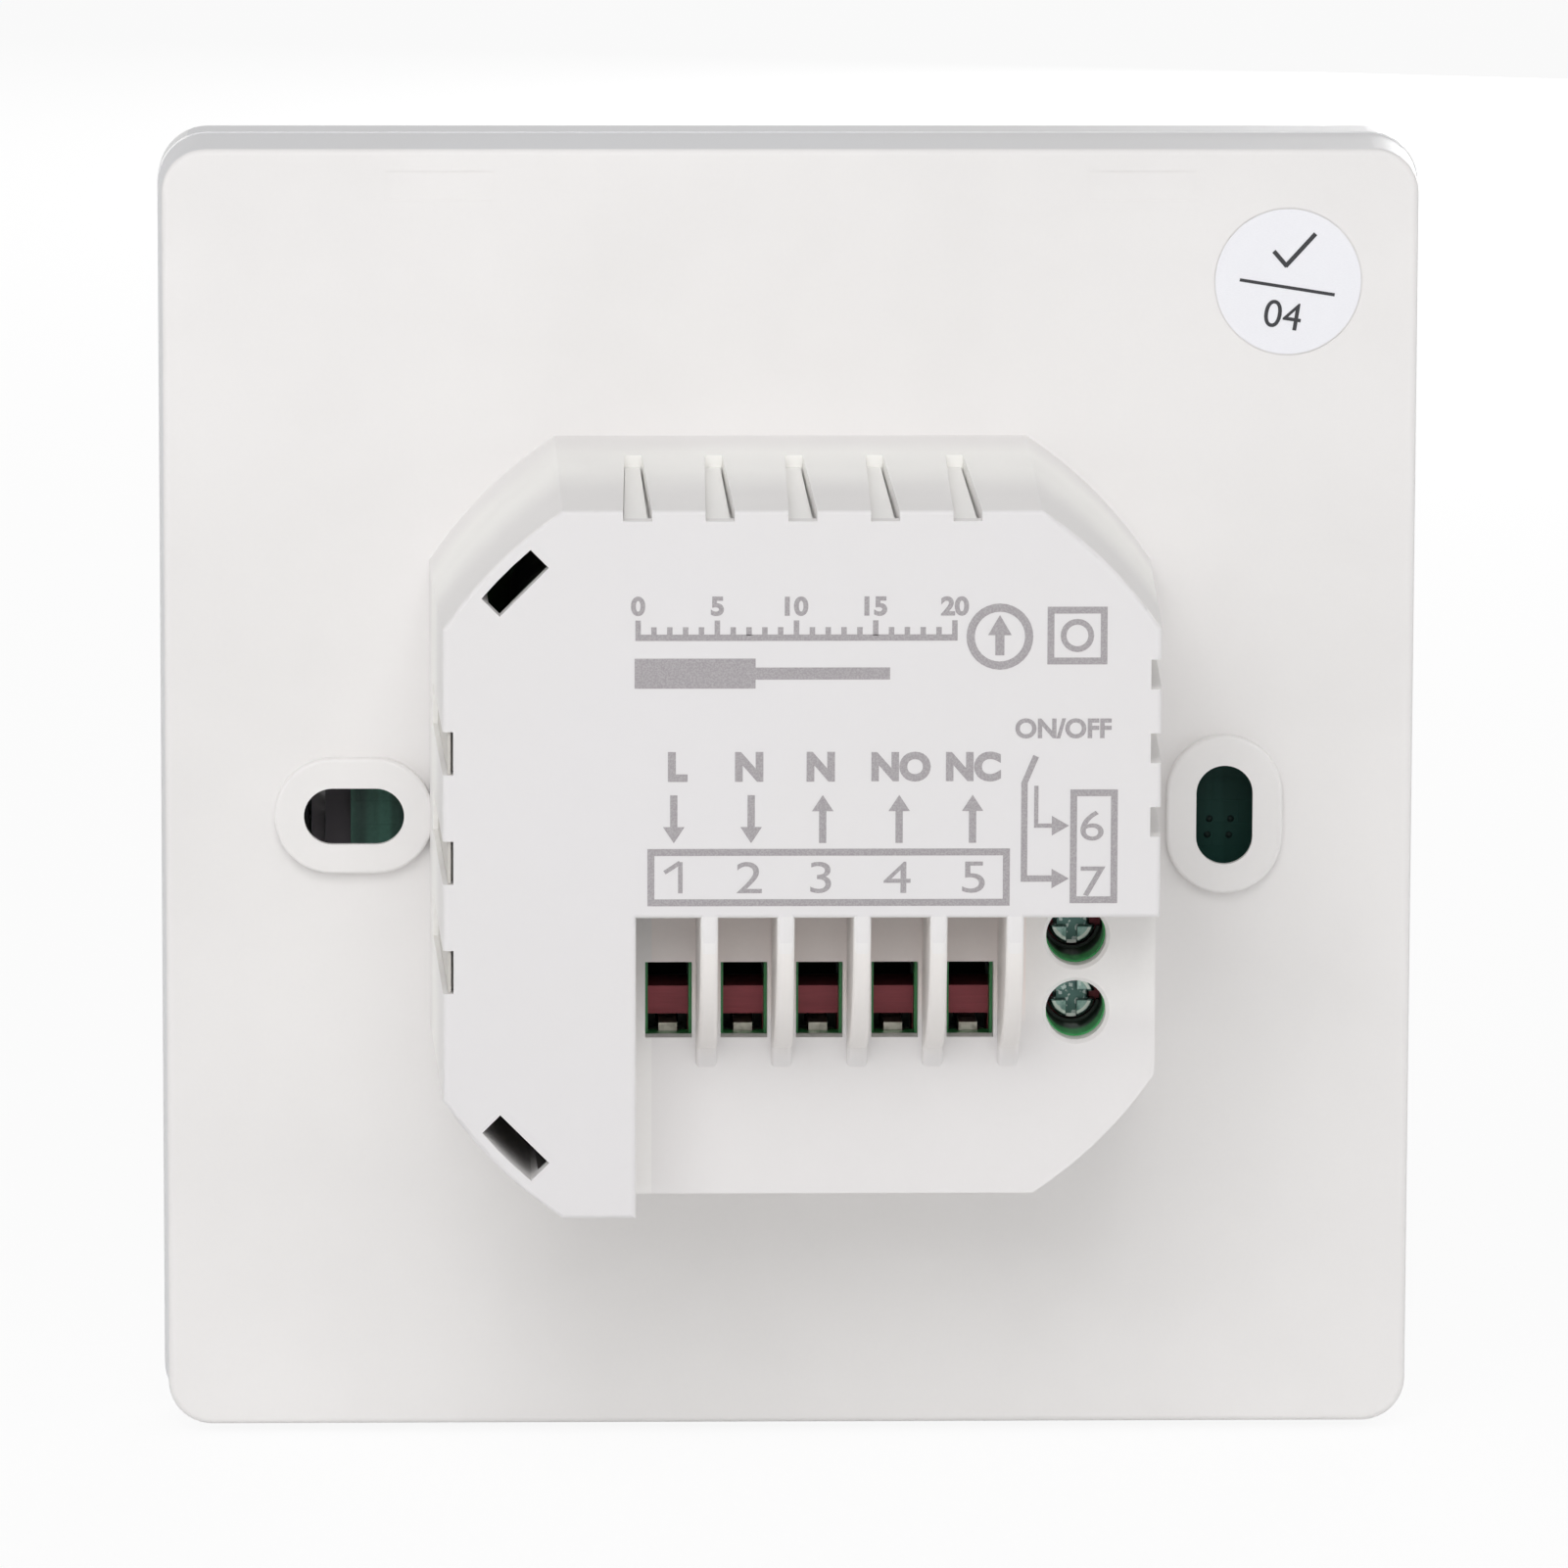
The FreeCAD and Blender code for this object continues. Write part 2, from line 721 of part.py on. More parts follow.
def rib(x):
    """A gusset between two wire windows: its outer edge bends down to the recess floor."""
    knee = (floor_depth + rib_knee_height, rib_knee_z)
    rise = box_depth - knee[0]
    run = recess_top - knee[1]
    radius = (rise * rise + run * run) / (2 * rise)
    turn = math.asin(min(run / radius, 1.0)) / 2
    middle = (box_depth - radius * (1 - math.cos(turn)), recess_top - radius * math.sin(turn))
    thick = 2 * rib_foot_width
    at = lambda place: V(x - thick / 2, -place[0], place[1])
    deep = floor_depth - box_wall / 3
    lip = recess_top + box_edge_round
    corners = [knee, (floor_depth, rib_foot_z), (deep, rib_foot_z), (deep, lip), (box_depth, lip)]
    corners.append((box_depth, recess_top))
    edges = [Part.Arc(at(corners[-1]), at(middle), at(knee)).toShape()]
    edges += [Part.makeLine(at(a), at(b)) for a, b in zip(corners, corners[1:])]
    side = Part.Face(Part.Wire(edges)).extrude(V(thick, 0, 0))
    a = rib_top_width / 2
    b = rib_foot_width / 2
    low = rib_foot_z - past
    taper = [V(x - a, -box_depth, low), V(x + a, -box_depth, low), V(x + b, -deep, low), V(x - b, -deep, low)]
    wedge = Part.Face(Part.makePolygon(taper + [taper[0]])).extrude(V(0, 0, lip + past - low))
    body = side.common(wedge)
    outer = []
    for e in body.Edges:
        box = e.BoundBox
        above_floor = box.YMax < -floor_depth + 1e-6
        if above_floor and box.XLength < rib_foot_width / 2 and box.ZMin < recess_top - rib_edge_round:
            outer.append(e)
    return body.makeFillet(rib_edge_round, outer)


def board_catch():
    """A nub on the box's inner wall that hooks over the power board's front."""
    radius = box_round_diameter / 2 - box_wall
    top = power_board_front - catch_gap
    reach = (radius - catch_reach, radius + box_wall / 3)
    return block(reach, (top - catch_height, top), (-snap_length / 2, snap_length / 2))


def shield_shell():
    """The thin shell just inside the box's walls that the vent shields are cut from."""
    outer_inset = box_wall + shield_gap
    top = face_inside - stand_off
    end = top - shield_thickness
    outer = box_form(outer_inset, (shield_start, top))
    return outer.cut(box_form(outer_inset + shield_thickness, (shield_start - past, end)))


def louvre(x, narrow, wide, floor, slit, end):
    """A pad that fills a slot of the upper wall up to its floor and leaves a slit at its right."""
    start = vent_start + louvre_gap
    far = box_depth + past
    points = [
        V(x - narrow / 2 + louvre_gap, -start, 0),
        V(x + narrow / 2 - slit / 2, -start, 0),
        V(x + wide / 2 - slit, -far, 0),
        V(x - wide / 2 + louvre_gap, -far, 0),
    ]
    low = box_half(box_depth, box_wall + shield_gap + shield_thickness / 2)
    flat = Part.Face(Part.makePolygon(points + [points[0]]))
    flat.translate(V(0, 0, low))
    pad = flat.extrude(V(0, 0, box_width / 2 - low))
    return pad.common(box_form(floor, (0, end)))


def vent_shield():
    """The inner wall behind the vents and the right notches, with a louvre in each vent."""
    shell = shield_shell()
    top = face_inside - stand_off
    end = top - shield_thickness
    vent_reach = (vent_count - 1) / 2 * vent_pitch + vent_wide / 2
    left = -vent_reach - shield_past_vents
    right = post_edge - vent_shield_clearance
    high = post_edge - vent_shield_right_clearance
    low = right_notch_centres[-1] - right_notch_length - 2 * past / 5
    top_low = inner_reach(0, box_depth) - shield_gap - 4 * shield_thickness
    keeps = [
        block((left, right), (0, box_depth), (top_low, box_width)),
        block((top_low, box_width), (0, box_depth), (low, high)),
        block((left, box_width), (end, box_depth), (low, high)),
        block((left, right), (end, box_depth), (high - past, box_width)),
    ]
    pieces = [shell.common(keep) for keep in keeps]
    for k in range(vent_count):
        x = (k - (vent_count - 1) / 2) * vent_pitch
        pieces.append(louvre(x, vent_narrow, vent_wide, vent_floor, louvre_slit, top))
    return join(pieces)


def notch_shield():
    """The strip behind the left notches, with a pad that fills each notch nearly to its edge."""
    shell = shield_shell()
    top = face_inside - stand_off
    low = left_notch_centres[-1] - left_notch_length
    high = left_notch_centres[0] + left_notch_length
    inner = box_half(top, box_wall + shield_gap + shield_thickness)
    pieces = [shell.common(block((-box_width, -inner), (0, top), (low, high)))]
    lip = box_half(box_depth) - slot_bite + notch_slit
    for centre in left_notch_centres:
        half = left_notch_length / 2 - louvre_gap
        pad = louvre(centre, left_notch_length, left_notch_length, notch_floor, louvre_gap, top)
        rim = block((centre - half, centre + half), (top - past, box_depth - notch_end_gap), (lip, box_width))
        rim = rim.common(box_form(notch_floor, (0, box_depth)))
        pieces.append(turned(pad.fuse(rim), -90))
    return join(pieces)


def power_board():
    """Green board that fills the box, with holes for its screws and every pin."""
    form = box_form(box_wall + board_gap, (power_board_front, power_board_depth))
    hole = screw_diameter + 2 * screw_hole_gap
    through = (power_board_front - past, power_board_depth + past)
    holes = [rod_d(post_place, s * post_place, hole, through) for s in (-1, 1)]
    return tidy(form.cut(holes + pin_cutters()))


def contact_bar(frame):
    """A terminal's contact: a bar under the jaw whose tail goes down through the board."""
    half = contact_width / 2
    tail = power_board_front - contact_past_board
    tip = cage_length / 2 + contact_past_cage
    if frame[0] < 6:
        return clamp_block(frame, (0, contact_top), (tail - clamp_axis_depth, tip), (-half, half))
    leg = -cage_length / 2 - contact_past_cage
    bar = clamp_block(frame, (0, contact_top), (leg - contact_leg_width, tip), (-half, half))
    low = tail - clamp_face_depth
    pin = clamp_block(frame, (low, contact_leg_overlap), (leg - contact_leg_width, leg), (-half, half))
    return join([bar, pin])


def bar_room(frame):
    """The space that a contact bar needs in the housing and in the board."""
    g = pin_gap
    half = contact_width / 2 + g
    tip = cage_length / 2 + contact_past_cage + g
    if frame[0] < 6:
        return [clamp_block(frame, (-g, contact_top + g), (-clamp_axis_depth - past, tip), (-half, half))]
    leg = -cage_length / 2 - contact_past_cage
    back = leg - contact_leg_width - g
    bar = clamp_block(frame, (-g, contact_top + g), (back, tip), (-half, half))
    pin_s = (-clamp_face_depth - past, contact_leg_overlap)
    pin = clamp_block(frame, pin_s, (back, leg + g), (-half, half))
    return [bar, pin]


def block_top():
    """The upper edge of the housing for terminals 1 to 5."""
    return clamp_face_z + jaw_room + block_skin


def terminal_housing(numbers):
    """A green terminal block for the clamps with the numbers given."""
    frames = [f for f in terminal_frames() if f[0] in numbers]
    half_pitch = terminal_pitch / 2
    seat = floor_inside - block_seat_gap
    if frames[0][0] < 6:
        x = (first_terminals[0] - half_pitch, first_terminals[-1] + half_pitch)
        z = (clamp_face_z - head_top - block_foot, block_top())
    else:
        z = (second_terminals[-1] - half_pitch, second_terminals[0] + half_pitch)
        right = inner_reach(min(z), seat) - 2 * housing_gap
        x = (first_terminals[-1] + half_pitch + 2 * housing_gap, right)
    body = block(x, (power_board_depth, seat), z)
    cutters = []
    for frame in frames:
        cutters += clamp_cavity(frame) + bar_room(frame)
    return tidy(body.cut(cutters))


# The pieces on the power board's rear are placed from the box's walls and from each other
board_top = power_board_depth
lead_range = (power_board_front - lead_past_board, board_top + 3 * stand_off)
shield_inset = shield_gap + shield_thickness


def relay_lefts_and_lows():
    """The lower left corners and lengths of the output relay and of the dry contact relay."""
    top = board_top + relay_height
    dry_low = inner_reach(0, top, shield_inset) - 3 * stand_off - relay_width - relay_wall_gap
    out_low = dry_low - relays_apart - relay_width
    out_left = output_capacitor_place()[0] + output_capacitor_diameter / 2 + piece_gap
    out_room = inner_reach(0, top, shield_inset) - relay_wall_gap - out_left
    dry_left = varistor_place()[0] + varistor_thickness / 2 + piece_gap
    dry_room = post_edge - relay_wall_gap - dry_left
    return (
        (out_left, out_low, min(relay_length, out_room)),
        (dry_left, dry_low, min(relay_length, dry_room)),
    )


def transformer_corner():
    low = transformer_centre_z - transformer_length / 2
    left = -inner_reach(0, board_top + transformer_height) + transformer_wall_gap
    return left, low


def bulk_capacitor_place():
    radius = box_round_diameter / 2 - box_wall - draft_slope * (board_top + bulk_capacitor_height)
    place = (radius - bulk_capacitor_diameter / 2 - bulk_capacitor_wall_gap) * math.sqrt(0.5)
    return -place, place


def varistor_place():
    x, z = bulk_capacitor_place()
    return x + bulk_capacitor_diameter / 2 + piece_gap + varistor_thickness / 2, z


def fuse_place():
    x = transformer_corner()[0] + transformer_width + piece_gap + fuse_diameter / 2
    return x, block_top() + fuse_to_block + fuse_diameter / 2


def output_capacitor_place():
    x = transformer_corner()[0] + transformer_width + piece_gap + output_capacitor_diameter / 2
    z = fuse_place()[1] + fuse_diameter / 2 + piece_gap + output_capacitor_diameter / 2
    return x, z


def film_capacitor_corner():
    high = transformer_corner()[1] - 2 * piece_gap
    low = high - film_capacitor_length
    return -inner_reach(low, board_top + film_capacitor_height, shield_inset) + piece_gap, low


def relay_leads(corner):
    x, z, length = corner
    edge = relay_side_lead_inset
    places = [(x + relay_lead_inset, z + edge), (x + relay_lead_inset, z + relay_width - edge)]
    places.append((x + relay_coil_lead, z + edge))
    places.append((x + length - relay_lead_inset, z + relay_width / 2))
    return places


def transformer_leads():
    x, z = transformer_corner()
    span = transformer_width - 2 * transformer_lead_inset
    step = span / (transformer_lead_count - 1)
    rows = (transformer_lead_edge, transformer_length - transformer_lead_edge)
    columns = [x + transformer_lead_inset + k * step for k in range(transformer_lead_count)]
    return [(column, z + row) for column in columns for row in rows]


def level_leads(place, spread):
    return [(place[0] - spread / 2, place[1]), (place[0] + spread / 2, place[1])]


def upright_leads(place, spread):
    return [(place[0], place[1] - spread / 2), (place[0], place[1] + spread / 2)]


def film_capacitor_leads():
    x, z = film_capacitor_corner()
    centre = (x + film_capacitor_width / 2, z + film_capacitor_length / 2)
    return upright_leads(centre, film_capacitor_length - 2 * film_capacitor_lead_inset)


def lead_places():
    """Every round lead that goes through the power board."""
    places = []
    for corner in relay_lefts_and_lows():
        places += relay_leads(corner)
    places += transformer_leads() + film_capacitor_leads()
    places += level_leads(bulk_capacitor_place(), bulk_capacitor_leads)
    places += level_leads(output_capacitor_place(), output_capacitor_leads)
    places += level_leads(fuse_place(), fuse_leads)
    places += upright_leads(varistor_place(), varistor_leads)
    return places


def pin_cutters():
    through = (power_board_front - past, board_top + past)
    cutters = [rod_d(x, z, lead_diameter + 2 * pin_gap, through) for x, z in lead_places()]
    board = block((-box_width, box_width), through, (-box_width, box_width))
    for frame in terminal_frames():
        cutters.append(bar_room(frame)[-1].common(board))
    return cutters


def leads(places, d=lead_range):
    return [rod_d(x, z, lead_diameter, d) for x, z in places]


def rims(shape):
    """The round edges at the ends of a bar."""
    return [e for e in shape.Edges if len(e.Vertexes) == 1]


def along_depth(shape):
    """The straight edges that run along the depth."""
    return [e for e in shape.Edges if e.BoundBox.YLength > 10 * (e.BoundBox.XLength + e.BoundBox.ZLength)]


def relay(corner):
    """A sealed cube relay with its leads."""
    x, z, length = corner
    body = block((x, x + length), (board_top + stand_off, board_top + relay_height), (z, z + relay_width))
    body = body.makeFillet(relay_corner, along_depth(body))
    return join([body] + leads(relay_leads(corner)))


core_base = board_top + bobbin_foot + stand_off
core_top = board_top + transformer_height


def transformer_limb(gap):
    """The middle limb of the core, grown by a gap."""
    x, z = transformer_corner()
    middle = (x + transformer_width / 2, z + transformer_length / 2)
    half = (core_limb / 2 + gap, core_thickness / 2 + gap)
    z_ends = (middle[1] - half[1], middle[1] + half[1])
    return block((middle[0] - half[0], middle[0] + half[0]), (core_base, core_top), z_ends)


def transformer_core():
    """Ferrite core: a frame round the winding and the limb through it."""
    x, z = transformer_corner()
    middle = z + transformer_length / 2
    long = (z, z + transformer_length)
    core_z = (middle - core_thickness / 2, middle + core_thickness / 2)
    outer = block((x, x + transformer_width), (core_base, core_top), core_z)
    inside = (x + core_side, x + transformer_width - core_side)
    window = block(inside, (core_base + core_end, core_top - core_end), long)
    return join([outer.cut(window), transformer_limb(0)])


def transformer_winding():
    """The taped coil that fills the core's windows and stands out at both ends."""
    x, z = transformer_corner()
    middle = z + transformer_length / 2
    reach = core_thickness / 2 + winding_past_core
    inset = core_side + winding_gap
    deep = (core_base + core_end + winding_gap, core_top - core_end - winding_gap)
    coil = block((x + inset, x + transformer_width - inset), deep, (middle - reach, middle + reach))
    coil = coil.makeFillet(winding_corner, along_depth(coil))
    return coil.cut(transformer_limb(winding_limb_gap))


def transformer_base():
    """The bobbin's foot, which carries the core and the leads."""
    x, z = transformer_corner()
    length = transformer_length
    foot_depth = (board_top + stand_off, board_top + bobbin_foot)
    foot = block((x, x + transformer_width), foot_depth, (z, z + length))
    middle = x + transformer_width / 2
    half = bobbin_pillar_width / 2
    top = core_base + core_end + winding_gap - stand_off
    reach = length / 2 - core_thickness / 2 - winding_past_core
    low = z + reach
    high = z + length - reach
    ends = ((low, low + bobbin_pillar_thickness), (high - bobbin_pillar_thickness, high))
    rise = (board_top + bobbin_foot - stand_off, top)
    pillars = [block((middle - half, middle + half), rise, e) for e in ends]
    return join([foot] + pillars + leads(transformer_leads()))


def can_capacitor(place, diameter, height, spread):
    """An electrolytic capacitor: a rolled can with a groove near its foot, and two leads."""
    x, z = place
    can = rod_d(x, z, diameter, (board_top + stand_off, board_top + height))
    can = can.makeFillet(can_edge_round, rims(can))
    low = board_top + can_groove_height
    groove = ring_d(x, z, diameter + past, diameter - 2 * can_groove_depth, (low, low + can_groove_width))
    return join([can.cut(groove)] + leads(level_leads(place, spread)))


def bulk_capacitor():
    place = bulk_capacitor_place()
    return can_capacitor(place, bulk_capacitor_diameter, bulk_capacitor_height, bulk_capacitor_leads)


def output_capacitor():
    place = output_capacitor_place()
    return can_capacitor(place, output_capacitor_diameter, output_capacitor_height, output_capacitor_leads)


def film_capacitor():
    x, z = film_capacitor_corner()
    deep = (board_top + stand_off, board_top + film_capacitor_height)
    body = block((x, x + film_capacitor_width), deep, (z, z + film_capacitor_length))
    body = body.makeFillet(film_capacitor_corner_round, body.Edges)
    return join([body] + leads(film_capacitor_leads()))


def varistor():
    """A coated disc standing on two leads."""
    x, z = varistor_place()
    centre = board_top + varistor_stand + varistor_diameter / 2
    start = V(x - varistor_thickness / 2, -centre, z)
    disc = Part.makeCylinder(varistor_diameter / 2, varistor_thickness, start, V(1, 0, 0))
    disc = disc.makeFillet(varistor_edge_round, rims(disc))
    return join([disc] + leads(upright_leads((x, z), varistor_leads), (lead_range[0], centre)))


def fuse():
    """A small round fuse can on two leads."""
    place = fuse_place()
    can = rod_d(place[0], place[1], fuse_diameter, (board_top + stand_off, board_top + fuse_height))
    can = can.makeFillet(can_edge_round, rims(can))
    return join([can] + leads(level_leads(place, fuse_leads)))


def power_chips():
    """Rectifier, supply chip and chip resistors on the power board's front."""
    front = power_board_front
    x, z = film_capacitor_corner()
    x += stand_off
    middle = z + film_capacitor_length / 2
    high = (middle - rectifier_length / 2, middle + rectifier_length / 2)
    rectifier = block((x, x + rectifier_width), (front - rectifier_height, front), high)
    right = transformer_corner()[0] + transformer_width - piece_gap
    low = transformer_centre_z - supply_chip_length / 2
    deep = (front - supply_chip_height, front)
    supply = block((right - supply_chip_width, right), deep, (low, low + supply_chip_length))
    left, low, length = relay_lefts_and_lows()[0]
    row = low - piece_gap - chip_resistor_width
    resistors = []
    for k in range(chip_resistor_count):
        x = left + k * chip_resistor_pitch
        across = (x, x + chip_resistor_length)
        upright = (row, row + chip_resistor_width)
        resistors.append(block(across, (front - chip_resistor_height, front), upright))
    return [rectifier, supply] + resistors


def header_places():
    z = clamp_face_z + header_over_clamps
    return [((k - (header_count - 1) / 2) * header_pitch, z) for k in range(header_count)]


def header_body(d):
    half = header_count * header_pitch / 2
    z = header_places()[0][1]
    return block((-half, half), d, (z - header_width / 2, z + header_width / 2))


def header_socket():
    """Female header with a square opening for each pin."""
    low = power_board_front - header_socket_height
    half = header_hole / 2
    deep = (low - past, power_board_front - header_socket_floor)
    holes = [block((x - half, x + half), deep, (z - half, z + half)) for x, z in header_places()]
    return header_body((low, power_board_front)).cut(holes)


def header_pins():
    """Male header on the display board: a strip and its square pins."""
    rear = display_board_rear
    strip = header_body((rear, rear + header_strip_height))
    half = header_pin / 2
    reach = (rear, power_board_front - header_pin_end_gap)
    pins = [block((x - half, x + half), reach, (z - half, z + half)) for x, z in header_places()]
    return join([strip] + pins)


def pan_screw(x, z, seat, tip):
    """A small pan-head screw along the depth, whose head lies on the side away from its tip."""
    out = 1 if seat > tip else -1
    span = lambda a, b: (min(a, b), max(a, b))
    rim = seat + out * screw_head_height
    shank = rod_d(x, z, screw_diameter - 2 * screw_thread_gap, span(seat, tip))
    head = rod_d(x, z, screw_head_diameter, span(seat, rim))
    head = head.makeFillet(screw_head_round, [e for e in rims(head) if abs(e.Vertexes[0].Y + rim) < 1e-6])
    deep = span(rim - out * screw_recess_depth, rim + out * past)
    a = screw_recess_length / 2
    b = screw_recess_width / 2
    cross = [block((x - a, x + a), deep, (z - b, z + b)), block((x - b, x + b), deep, (z - a, z + a))]
    return tidy(join([shank, head]).cut(cross))


def board_screws():
    tip = power_board_front + screw_length
    return [pan_screw(post_place, s * post_place, power_board_front, tip) for s in (-1, 1)]


cover_width = panel_width + 2 * (side_flare + cover_step)
cover_height = panel_height + 2 * (side_flare + cover_step)
lens_width = cover_width - 2 * lens_border
lens_height = cover_height - 2 * lens_border
key_z = -panel_height / 2 + key_from_bottom
glass_width = lens_width - 2 * glass_side_margin
glass_low = key_z + glass_over_keys
glass_high = lens_height / 2 - glass_top_margin
glass_height = glass_high - glass_low
glass_centre_z = (glass_high + glass_low) / 2
lip_flare = side_flare * (tray_depth - lip_height) / tray_depth
lip_width = panel_width + 2 * lip_flare - 2 * lip_inset
lip_tall = panel_height + 2 * lip_flare - 2 * lip_inset
display_board_left = panel_width / 2 - display_board_left_margin
display_board_right = panel_width / 2 - display_board_right_margin
display_board_half = panel_height / 2 - display_board_end_margin
key_pitch = (display_board_left - key_end_margin) / ((key_count - 1) / 2)


def key_places():
    return [(k - (key_count - 1) / 2) * key_pitch for k in range(key_count)]


def display_screw_places():
    x = display_board_left - display_screw_inset
    z = display_board_half - display_screw_end_inset
    return [(sx * x, sz * z) for sz in (-1, 1) for sx in (-1, 1)]


def lip_ring(inset, d):
    corner = max(panel_corner + lip_flare - lip_inset - inset, 0.3)
    return rounded_block(lip_width - 2 * inset, lip_tall - 2 * inset, corner, d)


def front_frame():
    """The white cover's frame, with its rim, lip, window, key holes and screw bosses."""
    body = rounded_block(cover_width, cover_height, panel_corner + side_flare, (front_face, -tray_depth))
    body = body.makeFillet(front_edge_round, edges_at_depth(body, front_face))
    seat_depth = (front_face - past, lens_back)
    seat_size = (lens_width + 2 * lens_gap, lens_height + 2 * lens_gap)
    seat = rounded_block(seat_size[0], seat_size[1], lens_corner + lens_gap, seat_depth)
    deep = (front_wall_back, -tray_depth + past)
    inside = (cover_width - 2 * side_wall, cover_height - 2 * side_wall)
    hollow = rounded_block(inside[0], inside[1], front_inner_corner, deep)
    through = (front_face, front_wall_back + past)
    wide = glass_width + 2 * glass_gap
    tall = glass_height + 2 * glass_gap
    window = rounded_block(wide, tall, glass_gap, through, 0, glass_centre_z)
    keys = [rod_d(x, key_z, key_pad_diameter + 2 * key_hole_gap, through) for x in key_places()]
    body = body.cut([seat, hollow, window] + keys)
    low = -tray_depth - lip_root
    high = -tray_depth + lip_height
    ring = lip_ring(0, (low, high)).cut(lip_ring(lip_thickness, (low - past, high + past)))
    root_corner = panel_corner - side_wall / 2
    root = rounded_block(cover_width - side_wall, cover_height - side_wall, root_corner, (low, -tray_depth))
    root = root.cut(lip_ring(lip_thickness, (low - past, high)))
    bosses = []
    for x, z in display_screw_places():
        boss = rod_d(x, z, boss_diameter, (lens_back + front_wall / 4, display_board_front))
        bore = (front_wall_back - front_wall / 2, 0)
        bosses.append(boss.cut(rod_d(x, z, screw_diameter, bore)))
    tabs = []
    tab_end = -tray_depth + tab_reach
    top = panel_height / 2 + side_flare * -tab_end / tray_depth - lip_inset
    for side in (-1, 1):
        x = (side * tab_place - tab_width / 2, side * tab_place + tab_width / 2)
        tabs.append(block(x, (low, tab_end), (top - lip_thickness, top)))
    return join([body, root, ring] + bosses + tabs)


def front_lens():
    """The touch window: a flat plate with a rounded front edge."""
    outer = front_face - lens_proud
    plate = rounded_block(lens_width, lens_height, lens_corner, (outer, lens_back))
    return plate.makeFillet(lens_edge_round, edges_at_depth(plate, outer))


def display_glass():
    """Two panes, the rear one longer at its lower edge where the contacts are."""
    half = glass_width / 2
    back_face = display_board_front - backlight_thickness
    seam = back_face - glass_thickness / 2
    back_pane = block((-half, half), (seam, back_face), (glass_low, glass_high))
    front_z = (glass_low + glass_ledge, glass_high)
    front_pane = block((-half, half), (back_face - glass_thickness, seam), front_z)
    return join([back_pane, front_pane])


def lamp_places():
    return [glass_centre_z + (k - (lamp_count - 1) / 2) * lamp_pitch for k in range(lamp_count)]


def backlight():
    """The white light guide behind the glass, notched for its lamps."""
    right = glass_width / 2 - backlight_inset
    depth = (display_board_front - backlight_thickness, display_board_front)
    guide = block((-right, right), depth, (glass_low + backlight_inset, glass_high - backlight_inset))
    half = lamp_length / 2 + lamp_gap
    notch_left = right - lamp_size - 2 * lamp_gap
    notches = [block((notch_left, right + past), depth, (z - half, z + half)) for z in lamp_places()]
    return guide.cut(notches)


def backlight_lamps():
    right = glass_width / 2 - backlight_inset - lamp_gap
    depth = (display_board_front - lamp_height, display_board_front)
    half = lamp_length / 2
    return [block((right - lamp_size, right), depth, (z - half, z + half)) for z in lamp_places()]


def display_carrier():
    """The black frame that holds the glass and the light guide on the board."""
    depth = (front_wall_back, display_board_front)
    wide = glass_width + 2 * carrier_side_border
    tall = glass_height + 2 * carrier_end_border
    outer = rounded_block(wide, tall, carrier_corner, depth, 0, glass_centre_z)
    half = glass_width / 2 + glass_gap
    high = (glass_low - glass_gap, glass_high + glass_gap)
    return outer.cut(block((-half, half), (depth[0] - past, depth[1] + past), high))


def display_board():
    """The green board of the front cover."""
    width = display_board_left + display_board_right
    x = (display_board_right - display_board_left) / 2
    depth = (display_board_front, display_board_rear)
    board = rounded_block(width, 2 * display_board_half, display_board_corner, depth, x, 0)
    through = (depth[0] - past, depth[1] + past)
    bore = screw_diameter + 2 * screw_hole_gap
    return board.cut([rod_d(px, pz, bore, through) for px, pz in display_screw_places()])


def display_screws():
    return [pan_screw(x, z, display_board_rear, front_wall_back) for x, z in display_screw_places()]


def touch_pads():
    """Conducting foam plugs that carry each touch field from the board to the window."""
    return [rod_d(x, key_z, key_pad_diameter, (lens_back, display_board_front)) for x in key_places()]


def on_display_board(height, lift=0.0):
    """The depth range of a piece of a given height on the display board's rear."""
    return display_board_rear + lift, display_board_rear + lift + height


def radio_board():
    top = display_board_half - radio_end_margin
    depth = on_display_board(radio_thickness)
    return block((-radio_width / 2, radio_width / 2), depth, (top - radio_length, top))


def radio_shield():
    """A folded metal can over the radio's chips."""
    low = display_board_half - radio_end_margin - radio_length + radio_edge
    half = radio_width / 2 - radio_edge
    depth = on_display_board(shield_can_height, radio_thickness)
    can = block((-half, half), depth, (low, low + shield_can_length))
    top_edges = [e for e in can.Edges if e.BoundBox.YMin < -depth[1] + 1e-6]
    can = can.makeFillet(shield_can_round, top_edges)
    wall = shield_can_wall
    inner = (depth[0] - past, depth[1] - wall)
    return can.cut(block((-half + wall, half - wall), inner, (low + wall, low + shield_can_length - wall)))


def controller_chip():
    """A square chip with a row of legs on each side."""
    x = display_board_right - controller_from_right
    z = display_board_half - controller_from_top
    half = controller_size / 2
    depth = on_display_board(controller_height, controller_stand)
    body = block((x - half, x + half), depth, (z - half, z + half))
    reach = half + controller_leg_reach
    foot = controller_leg_width / 2
    depth = on_display_board(controller_leg_height)
    legs = []
    for k in range(controller_legs):
        e = (k - (controller_legs - 1) / 2) * controller_leg_pitch
        legs.append(block((x + e - foot, x + e + foot), depth, (z - reach, z + reach)))
        legs.append(block((x - reach, x + reach), depth, (z + e - foot, z + e + foot)))
    return join([body] + legs)


def cell_place():
    return -display_board_left + cell_from_left, cell_z


def coin_cell():
    x, z = cell_place()
    can = rod_d(x, z, cell_diameter, on_display_board(cell_thickness, cell_cup_floor))
    return can.makeFillet(cell_edge_round, rims(can))


